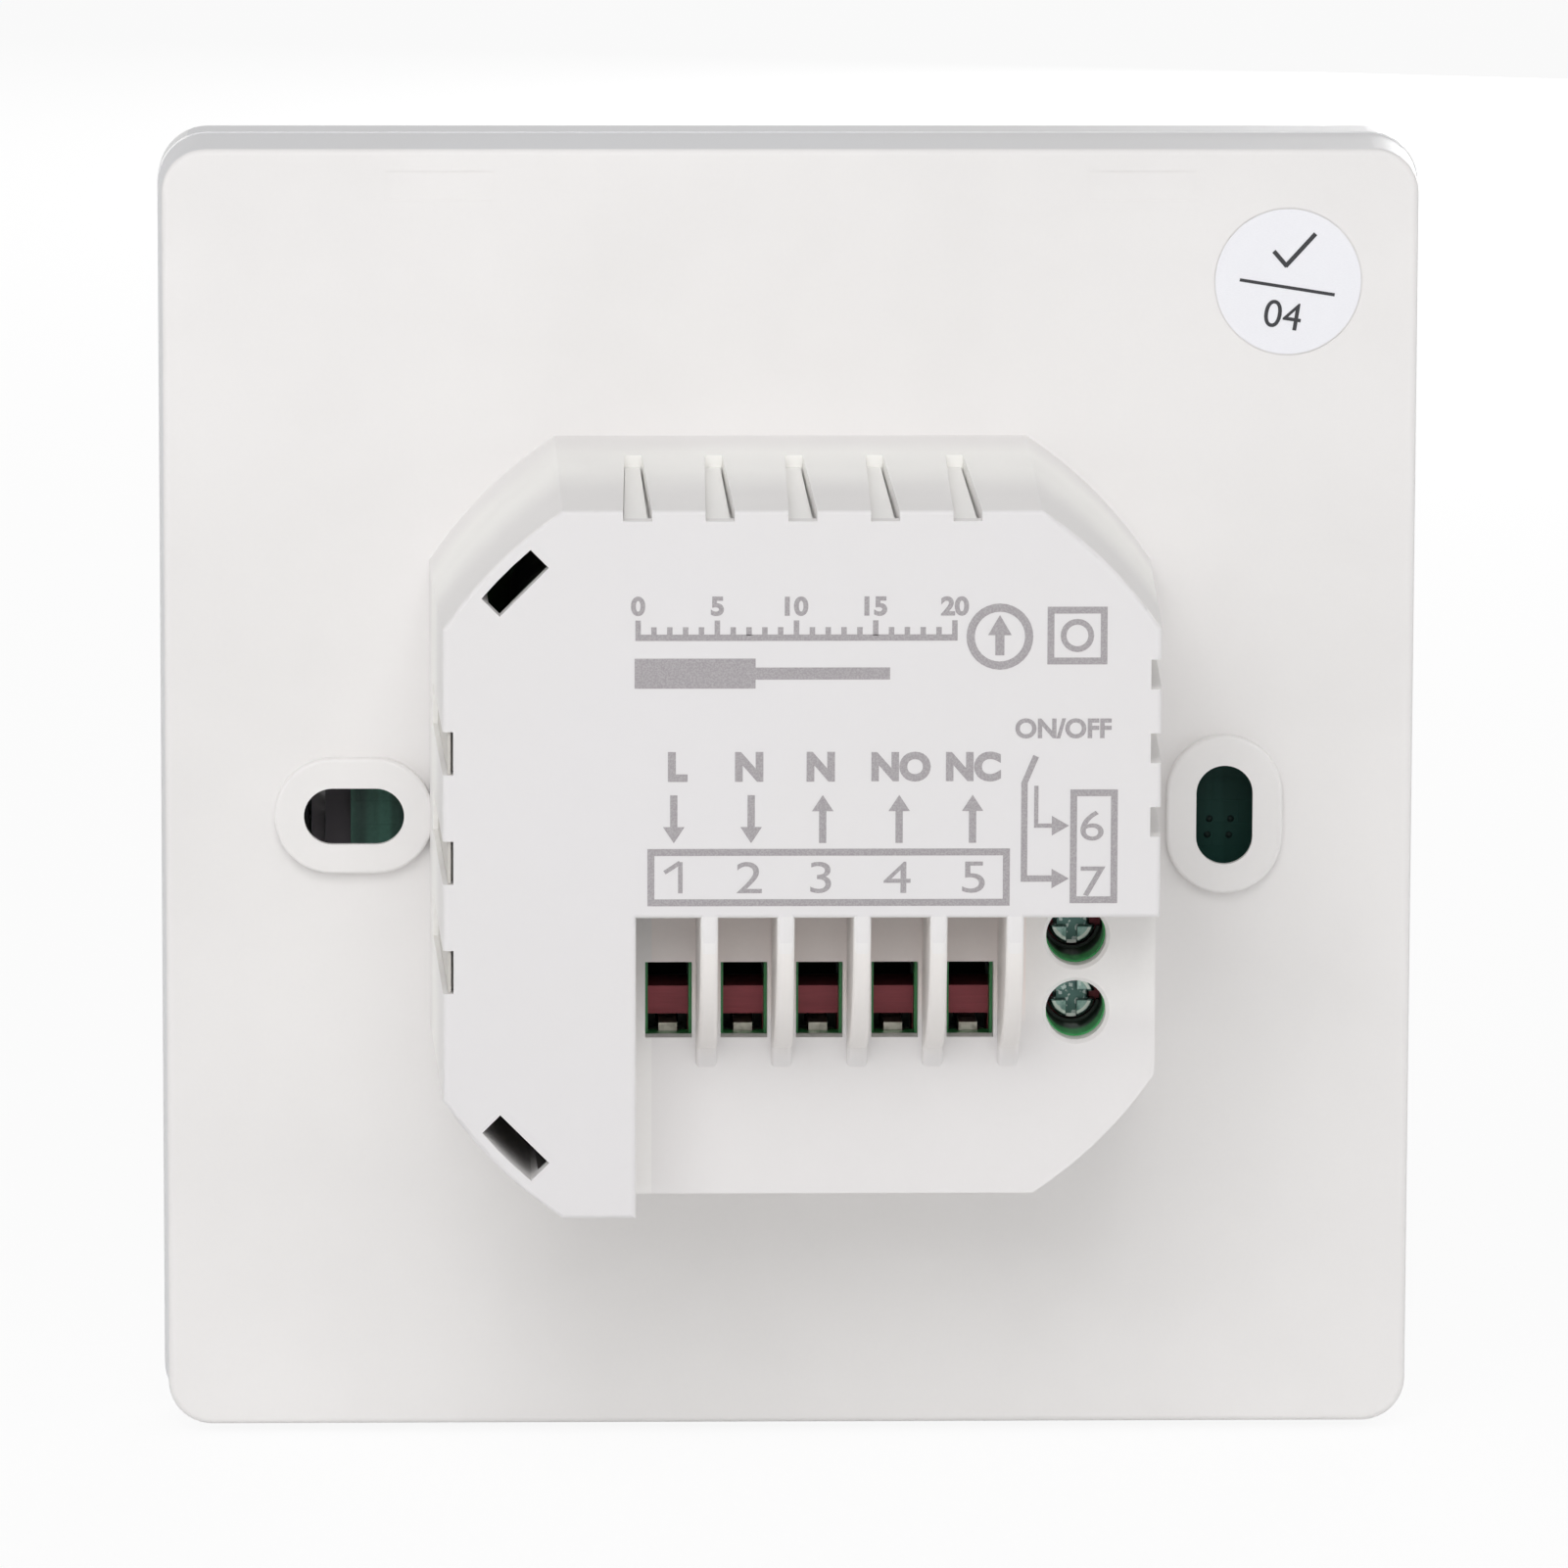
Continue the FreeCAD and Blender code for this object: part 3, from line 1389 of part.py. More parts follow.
def cell_holder():
    """A round plastic cup with a bridge over the cell."""
    x, z = cell_place()
    inner = cell_diameter / 2 + cell_cup_gap
    bridge_low = cell_cup_floor + cell_thickness + cell_bridge_gap
    height = bridge_low + cell_bridge_thickness
    cup = rod_d(x, z, 2 * (inner + cell_cup_wall), on_display_board(height))
    cup = cup.cut(rod_d(x, z, 2 * inner, on_display_board(height, cell_cup_floor)))
    reach = inner + cell_cup_wall / 2
    half = cell_bridge_width / 2
    bridge_depth = on_display_board(cell_bridge_thickness, bridge_low)
    bridge = block((x - reach, x + reach), bridge_depth, (z - half, z + half))
    return join([cup, bridge])


def buzzer():
    x = display_board_right - buzzer_from_right
    can = rod_d(x, buzzer_z, buzzer_diameter, on_display_board(buzzer_height))
    can = can.makeFillet(can_edge_round, rims(can))
    hole = on_display_board(buzzer_hole_depth + past, buzzer_height - buzzer_hole_depth)
    return can.cut(rod_d(x, buzzer_z, buzzer_hole, hole))


def room_sensor():
    """A bead on two leads that hangs below the display board, by the air slots."""
    bottom = -display_board_half
    depth = display_board_rear + sensor_pad_height
    bead = Part.makeSphere(sensor_bead / 2, V(0, -depth, bottom - sensor_drop))
    reach = (bottom - sensor_drop, bottom + sensor_lead_on_board)
    offsets = (-sensor_lead_gap / 2, sensor_lead_gap / 2)
    wires = [rod_z(x, depth, sensor_lead, reach) for x in offsets]
    half = sensor_pad_width / 2
    high = (bottom + sensor_lead_on_board / 2, bottom + sensor_lead_on_board)
    pads = [block((x - half, x + half), on_display_board(sensor_pad_height), high) for x in offsets]
    return join([bead] + wires + pads)


def display_chips():
    """Chip parts in two rows and a crystal on the display board's rear."""
    depth = on_display_board(chip_resistor_height)
    high_row = key_z + key_pad_diameter
    low_row = key_z
    items = []
    for k in range(chip_row_count):
        left = -display_board_left + 2 * chip_row_pitch + k * chip_row_pitch
        right = 2 * chip_row_pitch + k * chip_row_pitch
        for x, z in ((left, high_row), (right, low_row)):
            items.append(block((x, x + chip_resistor_length), depth, (z, z + chip_resistor_width)))
    x = display_board_right - controller_from_right
    z = display_board_half - controller_from_top - controller_size
    across = (x - crystal_length / 2, x + crystal_length / 2)
    items.append(block(across, on_display_board(crystal_height), (z - crystal_width, z)))
    return items


def disc_place():
    return panel_width / 2 - inspection_disc_from_right, panel_height / 2 - inspection_disc_from_top


def inspection_disc():
    """The paper disc, which lies flush in its shallow seat."""
    x, z = disc_place()
    return rod_d(x, z, inspection_disc_diameter, (-film_thickness, 0.0))


def save(name, shapes):
    """Writes one node, moved from the panel's centre to the frame's origin."""
    shapes = shapes if isinstance(shapes, list) else [shapes]
    solids = [s for shape in shapes for s in shape.Solids]
    out = solids[0].copy() if len(solids) == 1 else Part.makeCompound(solids)
    out.translate(V(0, 0, screw_line_below_centre))
    print(name, len(out.Solids), "solids,", round(out.Volume, 1), "mm3, valid", out.isValid())
    out.exportStep("parts/" + name + ".step")


frames = terminal_frames()
output_corner, dry_corner = relay_lefts_and_lows()
save("rear_housing", rear_housing())
save("vent_shield", vent_shield())
save("notch_shield", notch_shield())
save("power_board", power_board())
save("terminal_housing_1_to_5", terminal_housing((1, 2, 3, 4, 5)))
save("terminal_housing_6_and_7", terminal_housing((6, 7)))
for frame in frames:
    save("terminal_screw_%d" % frame[0], clamp_screw(frame))
    save("clamp_cage_%d" % frame[0], clamp_cage(frame))
save("contact_bars_1_to_5", [contact_bar(f) for f in frames[:5]])
save("contact_bars_6_and_7", [contact_bar(f) for f in frames[5:]])
save("output_relay", relay(output_corner))
save("dry_contact_relay", relay(dry_corner))
save("transformer_core", transformer_core())
save("transformer_winding", transformer_winding())
save("transformer_base", transformer_base())
save("bulk_capacitor", bulk_capacitor())
save("output_capacitor", output_capacitor())
save("film_capacitor", film_capacitor())
save("varistor", varistor())
save("fuse", fuse())
save("power_chips", power_chips())
save("header_socket", header_socket())
save("board_screws", board_screws())
save("inspection_disc", inspection_disc())
save("front_frame", front_frame())
save("front_lens", front_lens())
save("display_glass", display_glass())
save("backlight_guide", backlight())
save("backlight_lamps", backlight_lamps())
save("display_carrier", display_carrier())
save("display_board", display_board())
save("display_screws", display_screws())
save("header_pins", header_pins())
save("touch_pads", touch_pads())
save("radio_board", radio_board())
save("radio_shield", radio_shield())
save("controller_chip", controller_chip())
save("coin_cell", coin_cell())
save("cell_holder", cell_holder())
save("buzzer", buzzer())
save("room_sensor", room_sensor())
save("display_chips", display_chips())
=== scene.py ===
import itertools
import math

import bpy
from mathutils import Matrix, Vector


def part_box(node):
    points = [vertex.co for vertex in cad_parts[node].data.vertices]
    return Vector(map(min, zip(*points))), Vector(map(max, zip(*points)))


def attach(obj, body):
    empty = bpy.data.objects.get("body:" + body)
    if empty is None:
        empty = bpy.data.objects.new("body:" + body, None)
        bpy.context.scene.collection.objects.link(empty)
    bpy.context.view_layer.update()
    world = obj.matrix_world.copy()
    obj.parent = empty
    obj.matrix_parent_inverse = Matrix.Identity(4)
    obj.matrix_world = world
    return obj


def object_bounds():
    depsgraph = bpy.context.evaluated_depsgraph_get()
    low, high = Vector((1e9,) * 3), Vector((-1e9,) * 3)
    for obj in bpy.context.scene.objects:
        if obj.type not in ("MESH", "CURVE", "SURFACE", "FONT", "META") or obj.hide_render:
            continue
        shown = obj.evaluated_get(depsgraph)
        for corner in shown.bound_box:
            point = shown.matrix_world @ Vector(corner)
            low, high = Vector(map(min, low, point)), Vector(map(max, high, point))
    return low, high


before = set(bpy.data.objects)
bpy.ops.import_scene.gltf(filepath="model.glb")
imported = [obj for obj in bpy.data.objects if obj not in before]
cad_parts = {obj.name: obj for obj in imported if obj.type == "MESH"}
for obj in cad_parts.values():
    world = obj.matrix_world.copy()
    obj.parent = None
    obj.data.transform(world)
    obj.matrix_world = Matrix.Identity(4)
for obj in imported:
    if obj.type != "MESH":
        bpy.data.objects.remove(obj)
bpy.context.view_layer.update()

# The thermostat's rear faces -Y, its display faces +Y, and Z is up. Sizes here are in
# millimetres from the panel's centre, and at() turns them into metres in the model's frame.
MM = 0.001
PANEL_CENTRE_UP = 1.5
FACE = -30.0
PANEL = 0.0
RECESS_FLOOR = -20.0
RECESS_LEFT = -9.8
RECESS_TOP = -3.4
RIM = 43.2
MOTTLE = 18.0


def at(x, z, y=0.0):
    return Vector((x * MM, y * MM, (z + PANEL_CENTRE_UP) * MM))


# Shader values and finishes


class Value:
    """A number on one finish's surface. Sums and products of values add their own nodes."""

    def __init__(self, finish, socket):
        self.finish = finish
        self.socket = socket

    def _math(self, operation, first, second):
        node = self.finish.node("ShaderNodeMath", {"operation": operation}, {0: first, 1: second})
        return Value(self.finish, node.outputs[0])

    def __add__(self, other):
        return self._math("ADD", self, other)

    def __radd__(self, other):
        return self._math("ADD", other, self)

    def __sub__(self, other):
        return self._math("SUBTRACT", self, other)

    def __rsub__(self, other):
        return self._math("SUBTRACT", other, self)

    def __mul__(self, other):
        return self._math("MULTIPLY", self, other)

    def __rmul__(self, other):
        return self._math("MULTIPLY", other, self)

    def __abs__(self):
        return self._math("ABSOLUTE", self, 0.0)

    def over(self, edge):
        return self._math("GREATER_THAN", self, edge)

    def under(self, edge):
        return self._math("LESS_THAN", self, edge)

    def most(self, other):
        return self._math("MAXIMUM", self, other)

    def root(self):
        return self._math("SQRT", self, 0.0)

    def step(self, low, high):
        """Rises from 0 to 1 between low and high."""
        node = self.finish.node(
            "ShaderNodeMapRange", {"interpolation_type": "SMOOTHSTEP"},
            {0: self, 1: low, 2: high, 3: 0.0, 4: 1.0},
        )
        return Value(self.finish, node.outputs[0])


class Finish:
    """One procedural surface finish."""

    def __init__(self, name, centre=(0, 0, 0), turn=(0, 0, 0), **constants):
        self.material = bpy.data.materials.new(name)
        self.material.use_nodes = True
        self.tree = self.material.node_tree
        self.shader = self.tree.nodes["Principled BSDF"]
        for word, value in constants.items():
            self.shader.inputs[word.replace("_", " ")].default_value = value
        coordinates = self.node("ShaderNodeTexCoord").outputs["Object"]
        shift = tuple(-v for v in centre)
        moved = self.node("ShaderNodeMapping", {}, {"Vector": coordinates, "Location": shift})
        self.place = self.node(
            "ShaderNodeMapping", {}, {"Vector": moved.outputs[0], "Rotation": turn}
        ).outputs[0]

    def node(self, kind, settings=None, inputs=None):
        made = self.tree.nodes.new(kind)
        for key, value in (settings or {}).items():
            setattr(made, key, value)
        for key, value in (inputs or {}).items():
            self.feed(made.inputs[key], value)
        return made

    def feed(self, socket, value):
        if isinstance(value, Value):
            value = value.socket
        if isinstance(value, bpy.types.NodeSocket):
            self.tree.links.new(value, socket)
        else:
            socket.default_value = value

    def axes(self):
        parts = self.node("ShaderNodeSeparateXYZ", {}, {0: self.place}).outputs
        return [Value(self, parts[i]) for i in range(3)]

    def grain(self, size, detail=2.0, stretch=(1, 1, 1)):
        """Noise whose lumps are about a size in millimetres."""
        drawn = self.node("ShaderNodeMapping", {}, {"Vector": self.place, "Scale": stretch}).outputs[0]
        noise = self.node(
            "ShaderNodeTexNoise", {}, {"Vector": drawn, "Scale": 1 / (size * MM), "Detail": detail}
        )
        return Value(self, noise.outputs[0])

    def cells(self, size):
        voronoi = self.node("ShaderNodeTexVoronoi", {}, {"Vector": self.place, "Scale": 1 / (size * MM)})
        return Value(self, voronoi.outputs["Distance"])

    def mix(self, amount, first, second):
        node = self.node("ShaderNodeMix", {"data_type": "RGBA"}, {0: amount, 6: first, 7: second})
        return node.outputs[2]

    def colour(self, value):
        self.feed(self.shader.inputs["Base Color"], value)
        return self

    def roughness(self, value):
        self.feed(self.shader.inputs["Roughness"], value)
        return self

    def bump(self, height, depth):
        node = self.node("ShaderNodeBump", {}, {"Distance": depth * MM, "Height": height})
        self.feed(self.shader.inputs["Normal"], node.outputs[0])
        return self


def rgb(red, green, blue):
    """A screen colour of 0 to 255 as a shader colour."""
    straight = []
    for part in (red, green, blue):
        part = part / 255
        straight.append(part / 12.92 if part <= 0.04045 else ((part + 0.055) / 1.055) ** 2.4)
    return (*straight, 1.0)


def moulded(name, light, dark, rough, grain=0.3, depth=0.004, **more):
    """Injection-moulded plastic: slow tone changes, fine spark texture, faint flow marks."""
    finish = Finish(name, **more)
    slow = finish.grain(MOTTLE, 3.0)
    fine = finish.grain(grain, 3.0)
    finish.colour(finish.mix(slow.step(0.35, 0.75) * 0.7 + fine * 0.3, light, dark))
    finish.roughness(rough - 0.04 + 0.08 * slow)
    return finish.bump(fine + 0.4 * finish.grain(4 * grain), depth)


def plated(name, light, dark, rough, stain):
    """Plated metal with dull stains and drawn scratches."""
    finish = Finish(name, Metallic=1.0)
    stains = finish.grain(stain, 4.0)
    lines = finish.grain(0.5, 2.0, (1, 14, 1))
    finish.colour(finish.mix(stains.step(0.4, 0.7), light, dark))
    finish.roughness(rough + 0.22 * stains.step(0.35, 0.7) - 0.05 * lines)
    return finish.bump(lines + 0.5 * stains, 0.012)


def circuit_green(name, light, dark, pale_end=None, coat=0.35, gloss=0.5):
    """Solder mask over copper tracks, with a fine weave below it. The left end may be paler."""
    finish = Finish(name, turn=(math.radians(90), 0, 0), Coat_Weight=coat, Coat_Roughness=0.12,
                    Specular_IOR_Level=gloss)
    tracks = finish.node(
        "ShaderNodeTexBrick",
        {"offset": 0.37, "squash": 1.6, "squash_frequency": 3},
        {"Vector": finish.place, "Scale": 260.0, "Mortar Size": 0.014, "Mortar Smooth": 0.3,
         "Brick Width": 1.1, "Row Height": 0.42},
    )
    lines = Value(finish, tracks.outputs["Fac"])
    pours = finish.grain(9.0, 0.0).step(0.52, 0.55)
    copper = lines.most(pours * 0.6)
    weave = finish.grain(0.25, 1.0)
    bands = finish.grain(1.6, 1.0, (1, 0.03, 0.03)).step(0.4, 0.65)
    base = finish.mix((copper * 0.6).most(bands), dark, light)
    if pale_end:
        end = 1.0 - finish.axes()[0].step(-27.0 * MM, -25.0 * MM)
        base = finish.mix(end, base, finish.mix(bands, *pale_end))
    finish.colour(finish.mix(weave * 0.35, base, dark))
    finish.roughness(0.3 + 0.2 * weave)
    return finish.bump(copper + 0.2 * weave, 0.02)


def white_moulding(name, tones):
    """White plastic whose tone changes over the piece: each tone comes with its own amount. Most tones are
    painted light and shade.
    """
    finish = Finish(name, Specular_IOR_Level=0.2)
    slow = finish.grain(MOTTLE, 3.0)
    fine = finish.grain(0.3, 3.0)
    tone = rgb(237, 235, 234)
    for amount, colour in tones(*finish.axes()):
        tone = finish.mix(amount, tone, colour)
    finish.colour(finish.mix(slow.step(0.35, 0.75) * 0.35 + fine * 0.15, tone, rgb(226, 224, 223)))
    finish.roughness(0.46 + 0.08 * slow)
    return finish.bump(fine + 0.4 * finish.grain(1.2), 0.004)


def housing_tones(x, y, z):
    """Painted light and shade on the housing: a warm recess with a darker floor and a lighter, warmer upper
    floor, whiter box walls, a darker face with lighter ribs, and a greyer rim.
    """
    walls = y.step(-24.0 * MM, -13.0 * MM) * (1.0 - y.step(-8.0 * MM, -1.2 * MM))
    face = y.under((FACE + 0.15) * MM)
    ribs = face * x.over(RECESS_LEFT * MM) * z.under((RECESS_TOP + PANEL_CENTRE_UP) * MM)
    recess = y.over((FACE + 0.3) * MM) * y.under((RECESS_FLOOR + 0.3) * MM)
    recess = recess * x.over(RECESS_LEFT * MM) * x.under(24.4 * MM) * z.under(0.0)
    floor = recess * y.step((RECESS_FLOOR - 1.8) * MM, (RECESS_FLOOR - 0.2) * MM)
    upper = floor * z.step(-11.5 * MM, -9.0 * MM)
    # Every tone below is painted light or shade, not the plastic's own colour.
    return [
        (recess, rgb(238, 234, 231)),
        (floor, rgb(225, 222, 223)),
        (upper, rgb(240, 238, 237)),
        (upper * x.under(15.4 * MM), rgb(246, 235, 231)),
        (walls, rgb(251, 250, 247)),
        (face, rgb(226, 224, 225)),
        (ribs, rgb(232, 230, 230)),
        (y.over(0.3 * MM), rgb(227, 227, 229)),
    ]


def cover_tones(x, y, z):
    """A little greyer round the outside: painted shade on the rim."""
    rim = abs(x).over(RIM * MM).most(abs(z - PANEL_CENTRE_UP * MM).over((RIM + 1.5) * MM))
    return [(1.0, rgb(240, 240, 240)), (rim * y.under(12.0 * MM), rgb(225, 225, 227))]


def terminal_finish():
    """Green moulding, with painted shade deep inside the blocks and painted light round the wells of 6 and
    7.
    """
    finish = moulded("terminal green", rgb(56, 140, 78), rgb(38, 106, 56), 0.42, 0.35, 0.006)
    outer = finish.shader.inputs["Base Color"].links[0].from_socket
    x, y, z = finish.axes()
    # Painted light: brighter green round the wells of 6 and 7.
    outer = finish.mix(x.over(15.0 * MM), outer, rgb(74, 186, 106))
    # Painted shade: darker green deep inside the blocks.
    return finish.colour(finish.mix(y.step(-16.9 * MM, -15.6 * MM), outer, rgb(20, 46, 29)))


housing_white = white_moulding("housing white", housing_tones)
cover_white = white_moulding("cover white", cover_tones)
# Whiter than the housing: painted light on the shield, which sits in shade behind the vents.
shield_white_painted_light = moulded("shield white", rgb(253, 252, 250), rgb(247, 246, 244), 0.5, Specular_IOR_Level=0.25)
# A darker copy of the white shield: painted shade on the shield behind the side notches.
notch_white_painted_shade = moulded("notch white painted shade", rgb(208, 205, 200), rgb(195, 192, 186), 0.5, Specular_IOR_Level=0.25)
black_plastic = moulded("black plastic", rgb(34, 34, 35), rgb(24, 24, 25), 0.5)
terminal_green = terminal_finish()
relay_case = moulded("relay case", rgb(38, 42, 46), rgb(28, 31, 35), 0.45)
lamp_white = moulded("lamp", rgb(245, 236, 190), rgb(232, 218, 150), 0.25, 0.2)
film_yellow = moulded("film capacitor", rgb(226, 188, 88), rgb(206, 166, 66), 0.35, 0.5)
fuse_brown = moulded("fuse can", rgb(120, 74, 50), rgb(92, 54, 36), 0.4)
chip_black = moulded("chip black", rgb(42, 42, 44), rgb(30, 30, 32), 0.55, 0.15, 0.006)
varistor_blue = moulded("varistor blue", rgb(52, 84, 158), rgb(36, 62, 126), 0.22, 0.8, 0.03)
ferrite = moulded("ferrite", rgb(70, 70, 74), rgb(46, 46, 50), 0.6, 0.2, 0.02)
screw_steel = plated("screw steel", rgb(196, 196, 188), rgb(132, 136, 126), 0.3, 0.8)
tinned = plated("tinned", rgb(222, 216, 204), rgb(178, 172, 160), 0.35, 0.7)
can_metal = plated("can metal", rgb(205, 205, 202), rgb(176, 176, 172), 0.3, 3.0)
solder = plated("solder", rgb(205, 206, 208), rgb(160, 162, 166), 0.25, 0.4)
board_green = circuit_green("board green", rgb(34, 98, 52), rgb(14, 62, 34))
display_green = circuit_green("display board green", rgb(44, 83, 75), rgb(36, 70, 63),
                              (rgb(80, 102, 95), rgb(103, 150, 134)), 0.0, 0.1)

# The light guide has black tape along its upright edges
light_guide = Finish("light guide")
milk = light_guide.grain(6.0, 2.0)
tape = abs(light_guide.axes()[0]).over(29.6 * MM)
clear = light_guide.mix(milk, rgb(240, 240, 232), rgb(228, 228, 218))
light_guide.colour(light_guide.mix(tape, clear, rgb(105, 100, 105)))
light_guide.roughness(0.3 + 0.3 * tape + 0.1 * milk)

winding_tape = Finish("winding tape", Coat_Weight=0.5, Coat_Roughness=0.1)
wrap = winding_tape.grain(2.0, 2.0, (1, 1, 4))
winding_tape.colour(winding_tape.mix(wrap, rgb(222, 178, 60), rgb(190, 140, 36)))
winding_tape.roughness(0.28 + 0.2 * wrap)
winding_tape.bump(wrap, 0.06)

foam = Finish("foam")
pores = foam.cells(0.35)
foam.colour(foam.mix(pores, rgb(64, 64, 66), rgb(34, 34, 36)))
foam.roughness(0.85 + 0.1 * pores)
foam.bump(pores, 0.08)

paper = Finish("label paper", Coat_Weight=0.25, Coat_Roughness=0.25)
fibre = paper.grain(0.2, 4.0, (1, 1, 3))
paper.colour(paper.mix(fibre, rgb(243, 243, 247), rgb(233, 233, 238)))
paper.roughness(0.36 + 0.15 * fibre)
paper.bump(fibre, 0.004)

ink = Finish("sticker ink")
dry = ink.grain(0.15, 3.0)
ink.colour(ink.mix(dry, rgb(30, 30, 34), rgb(58, 58, 62)))
ink.roughness(0.45 + 0.2 * dry)

print_grey = Finish("print grey")
worn = print_grey.grain(0.12, 3.0)
print_grey.colour(print_grey.mix(worn.step(0.3, 0.75), rgb(154, 149, 152), rgb(176, 172, 174)))
print_grey.roughness(0.42 + 0.2 * worn)


def cage_finish():
    """Dark red lacquer over pressed steel, with fine drawn lines across it."""
    finish = Finish("cage red", Metallic=0.2)
    slow = finish.grain(2.5, 2.0)
    drawn = finish.grain(0.35, 1.0, (0.15, 1, 3))
    finish.colour(finish.mix(slow * 0.6 + drawn * 0.4, rgb(182, 80, 90), rgb(140, 60, 68)))
    finish.roughness(0.38 + 0.15 * drawn)
    return finish.bump(drawn, 0.01)


def head_finish(number):
    """Dark steel, its green tint partly a painted reflection of the green well round it. Painted highlights
    shine on the head: a broken ring, small glints and the lower tip of the cross; the cross is painted
    darker as shade.
    """
    low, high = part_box("terminal_screw_%d" % number)
    middle = [(low[i] + high[i]) / 2 for i in range(3)]
    finish = Finish("screw head %d" % number, centre=middle, Metallic=0.85)
    x, y, z = finish.axes()
    radius = (x * x + z * z).root()
    # The cross is painted darker: painted shade in its recess.
    cross_painted_shade = abs(x).under(0.4 * MM).most(abs(z).under(0.4 * MM))
    # Painted highlight: a broken ring round the head.
    painted_ring_highlight = radius.step(1.12 * MM, 1.2 * MM) * (1.0 - radius.step(1.32 * MM, 1.4 * MM)) * (1.0 - cross_painted_shade)
    # Painted highlight on the lower tip of the cross.
    tip = abs(x).under(0.34 * MM) * z.under(-1.36 * MM)
    patches = finish.grain(0.8, 3.0)
    # Painted glints.
    painted_glints = finish.grain(0.35, 2.0).step(0.56, 0.62) * 0.5
    # The steel's green tint is partly a painted reflection of the green well round the head.
    steel = finish.mix(patches.step(0.35, 0.7), rgb(104, 136, 128), rgb(168, 196, 188))
    steel = finish.mix(cross_painted_shade, steel, rgb(84, 112, 106))
    steel = finish.mix(painted_glints, steel, rgb(226, 232, 228))
    finish.colour(finish.mix((painted_ring_highlight * patches.step(0.3, 0.5)).most(tip), steel, rgb(224, 230, 222)))
    finish.roughness(0.22 + 0.2 * patches)
    return finish.bump(patches, 0.01)


def can_sleeve(name, node, stripe):
    """Shrink sleeve with one pale stripe down the side of a can that stands along Y."""
    low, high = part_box(node)
    middle = [(low[i] + high[i]) / 2 for i in range(3)]
    finish = Finish(name, centre=middle, Coat_Weight=0.4, Coat_Roughness=0.15)
    x, y, z = finish.axes()
    across = abs(z).under((high[0] - low[0]) * 0.16) * x.over(0.0)
    dashes = finish.grain(1.6, 0.0)
    tone = finish.mix(dashes * 0.4, rgb(118, 119, 118), rgb(142, 143, 142))
    finish.colour(finish.mix(across, tone, stripe))
    finish.roughness(0.25 + 0.2 * dashes)
    return finish.bump(dashes, 0.01)


def window_finish():
    """White polished plate, clear and dark where the display is behind it."""
    low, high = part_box("display_glass")
    middle = [(low[i] + high[i]) / 2 for i in range(3)]
    half = ((high[0] - low[0]) / 2, (high[2] - low[2]) / 2)
    finish = Finish("window plate", centre=middle, Coat_Weight=0.8, Coat_Roughness=0.03)
    x, y, z = finish.axes()
    smoke = abs(x).under(half[0]) * abs(z).under(half[1])
    haze = finish.grain(25.0, 2.0)
    white = finish.mix(haze, rgb(238, 240, 241), rgb(231, 233, 235))
    dark = finish.mix(haze, rgb(17, 19, 22), rgb(24, 27, 31))
    behind = y.under(-0.5 * MM)
    finish.colour(finish.mix(behind, finish.mix(smoke, white, dark), rgb(190, 184, 190)))
    finish.roughness(0.1 + 0.08 * haze)
    return finish.bump(finish.grain(12.0, 1.0), 0.002)


def glass_finish():
    finish = Finish("display glass", Coat_Weight=1.0, Coat_Roughness=0.02)
    tone = finish.grain(8.0, 2.0)
    behind = finish.axes()[1].under(8.9 * MM)
    glass = finish.mix(tone, rgb(58, 66, 66), rgb(44, 52, 54))
    finish.colour(finish.mix(behind, glass, rgb(176, 170, 176)))
    return finish.roughness(0.08 + 0.1 * tone)


finishes = {
    "rear_housing": housing_white,
    "vent_shield": shield_white_painted_light,
    "notch_shield": notch_white_painted_shade,
    "power_board": board_green,
    "terminal_housing_1_to_5": terminal_green,
    "terminal_housing_6_and_7": terminal_green,
    "contact_bars_1_to_5": tinned,
    "contact_bars_6_and_7": tinned,
    "output_relay": relay_case,
    "dry_contact_relay": relay_case,
    "transformer_core": ferrite,
    "transformer_winding": winding_tape,
    "transformer_base": black_plastic,
    "bulk_capacitor": can_sleeve("bulk capacitor sleeve", "bulk_capacitor", rgb(196, 200, 206)),
    "output_capacitor": can_sleeve("output capacitor sleeve", "output_capacitor", rgb(190, 186, 150)),
    "film_capacitor": film_yellow,
    "varistor": varistor_blue,
    "fuse": fuse_brown,
    "power_chips": chip_black,
    "header_socket": black_plastic,
    "board_screws": screw_steel,
    "inspection_disc": paper,
    "front_frame": cover_white,
    "front_lens": window_finish(),
    "display_glass": glass_finish(),
    "backlight_guide": light_guide,
    "backlight_lamps": lamp_white,
    "display_carrier": black_plastic,
    "display_board": display_green,
    "display_screws": screw_steel,
    "header_pins": tinned,
    "touch_pads": foam,
    "radio_board": board_green,
    "radio_shield": can_metal,
    "controller_chip": chip_black,
    "coin_cell": can_metal,
    "cell_holder": black_plastic,
    "buzzer": black_plastic,
    "room_sensor": chip_black,
    "display_chips": chip_black,
}
cage_red = cage_finish()
for number in range(1, 8):
    finishes["terminal_screw_%d" % number] = head_finish(number) if number > 5 else screw_steel
    finishes["clamp_cage_%d" % number] = cage_red
for node, finish in finishes.items():
    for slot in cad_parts[node].material_slots:
        slot.material = finish.material


# Flat marks: bars, triangles, rings and letters

# Bars that cross have different thicknesses, so that no two of their faces lie in one plane
PRINT_THICK = 0.04
PRINT_STEP = 0.0015
PRINT_LAYERS = 8
LETTER_DEPTH = 0.01
print_layers = itertools.cycle(range(PRINT_LAYERS))


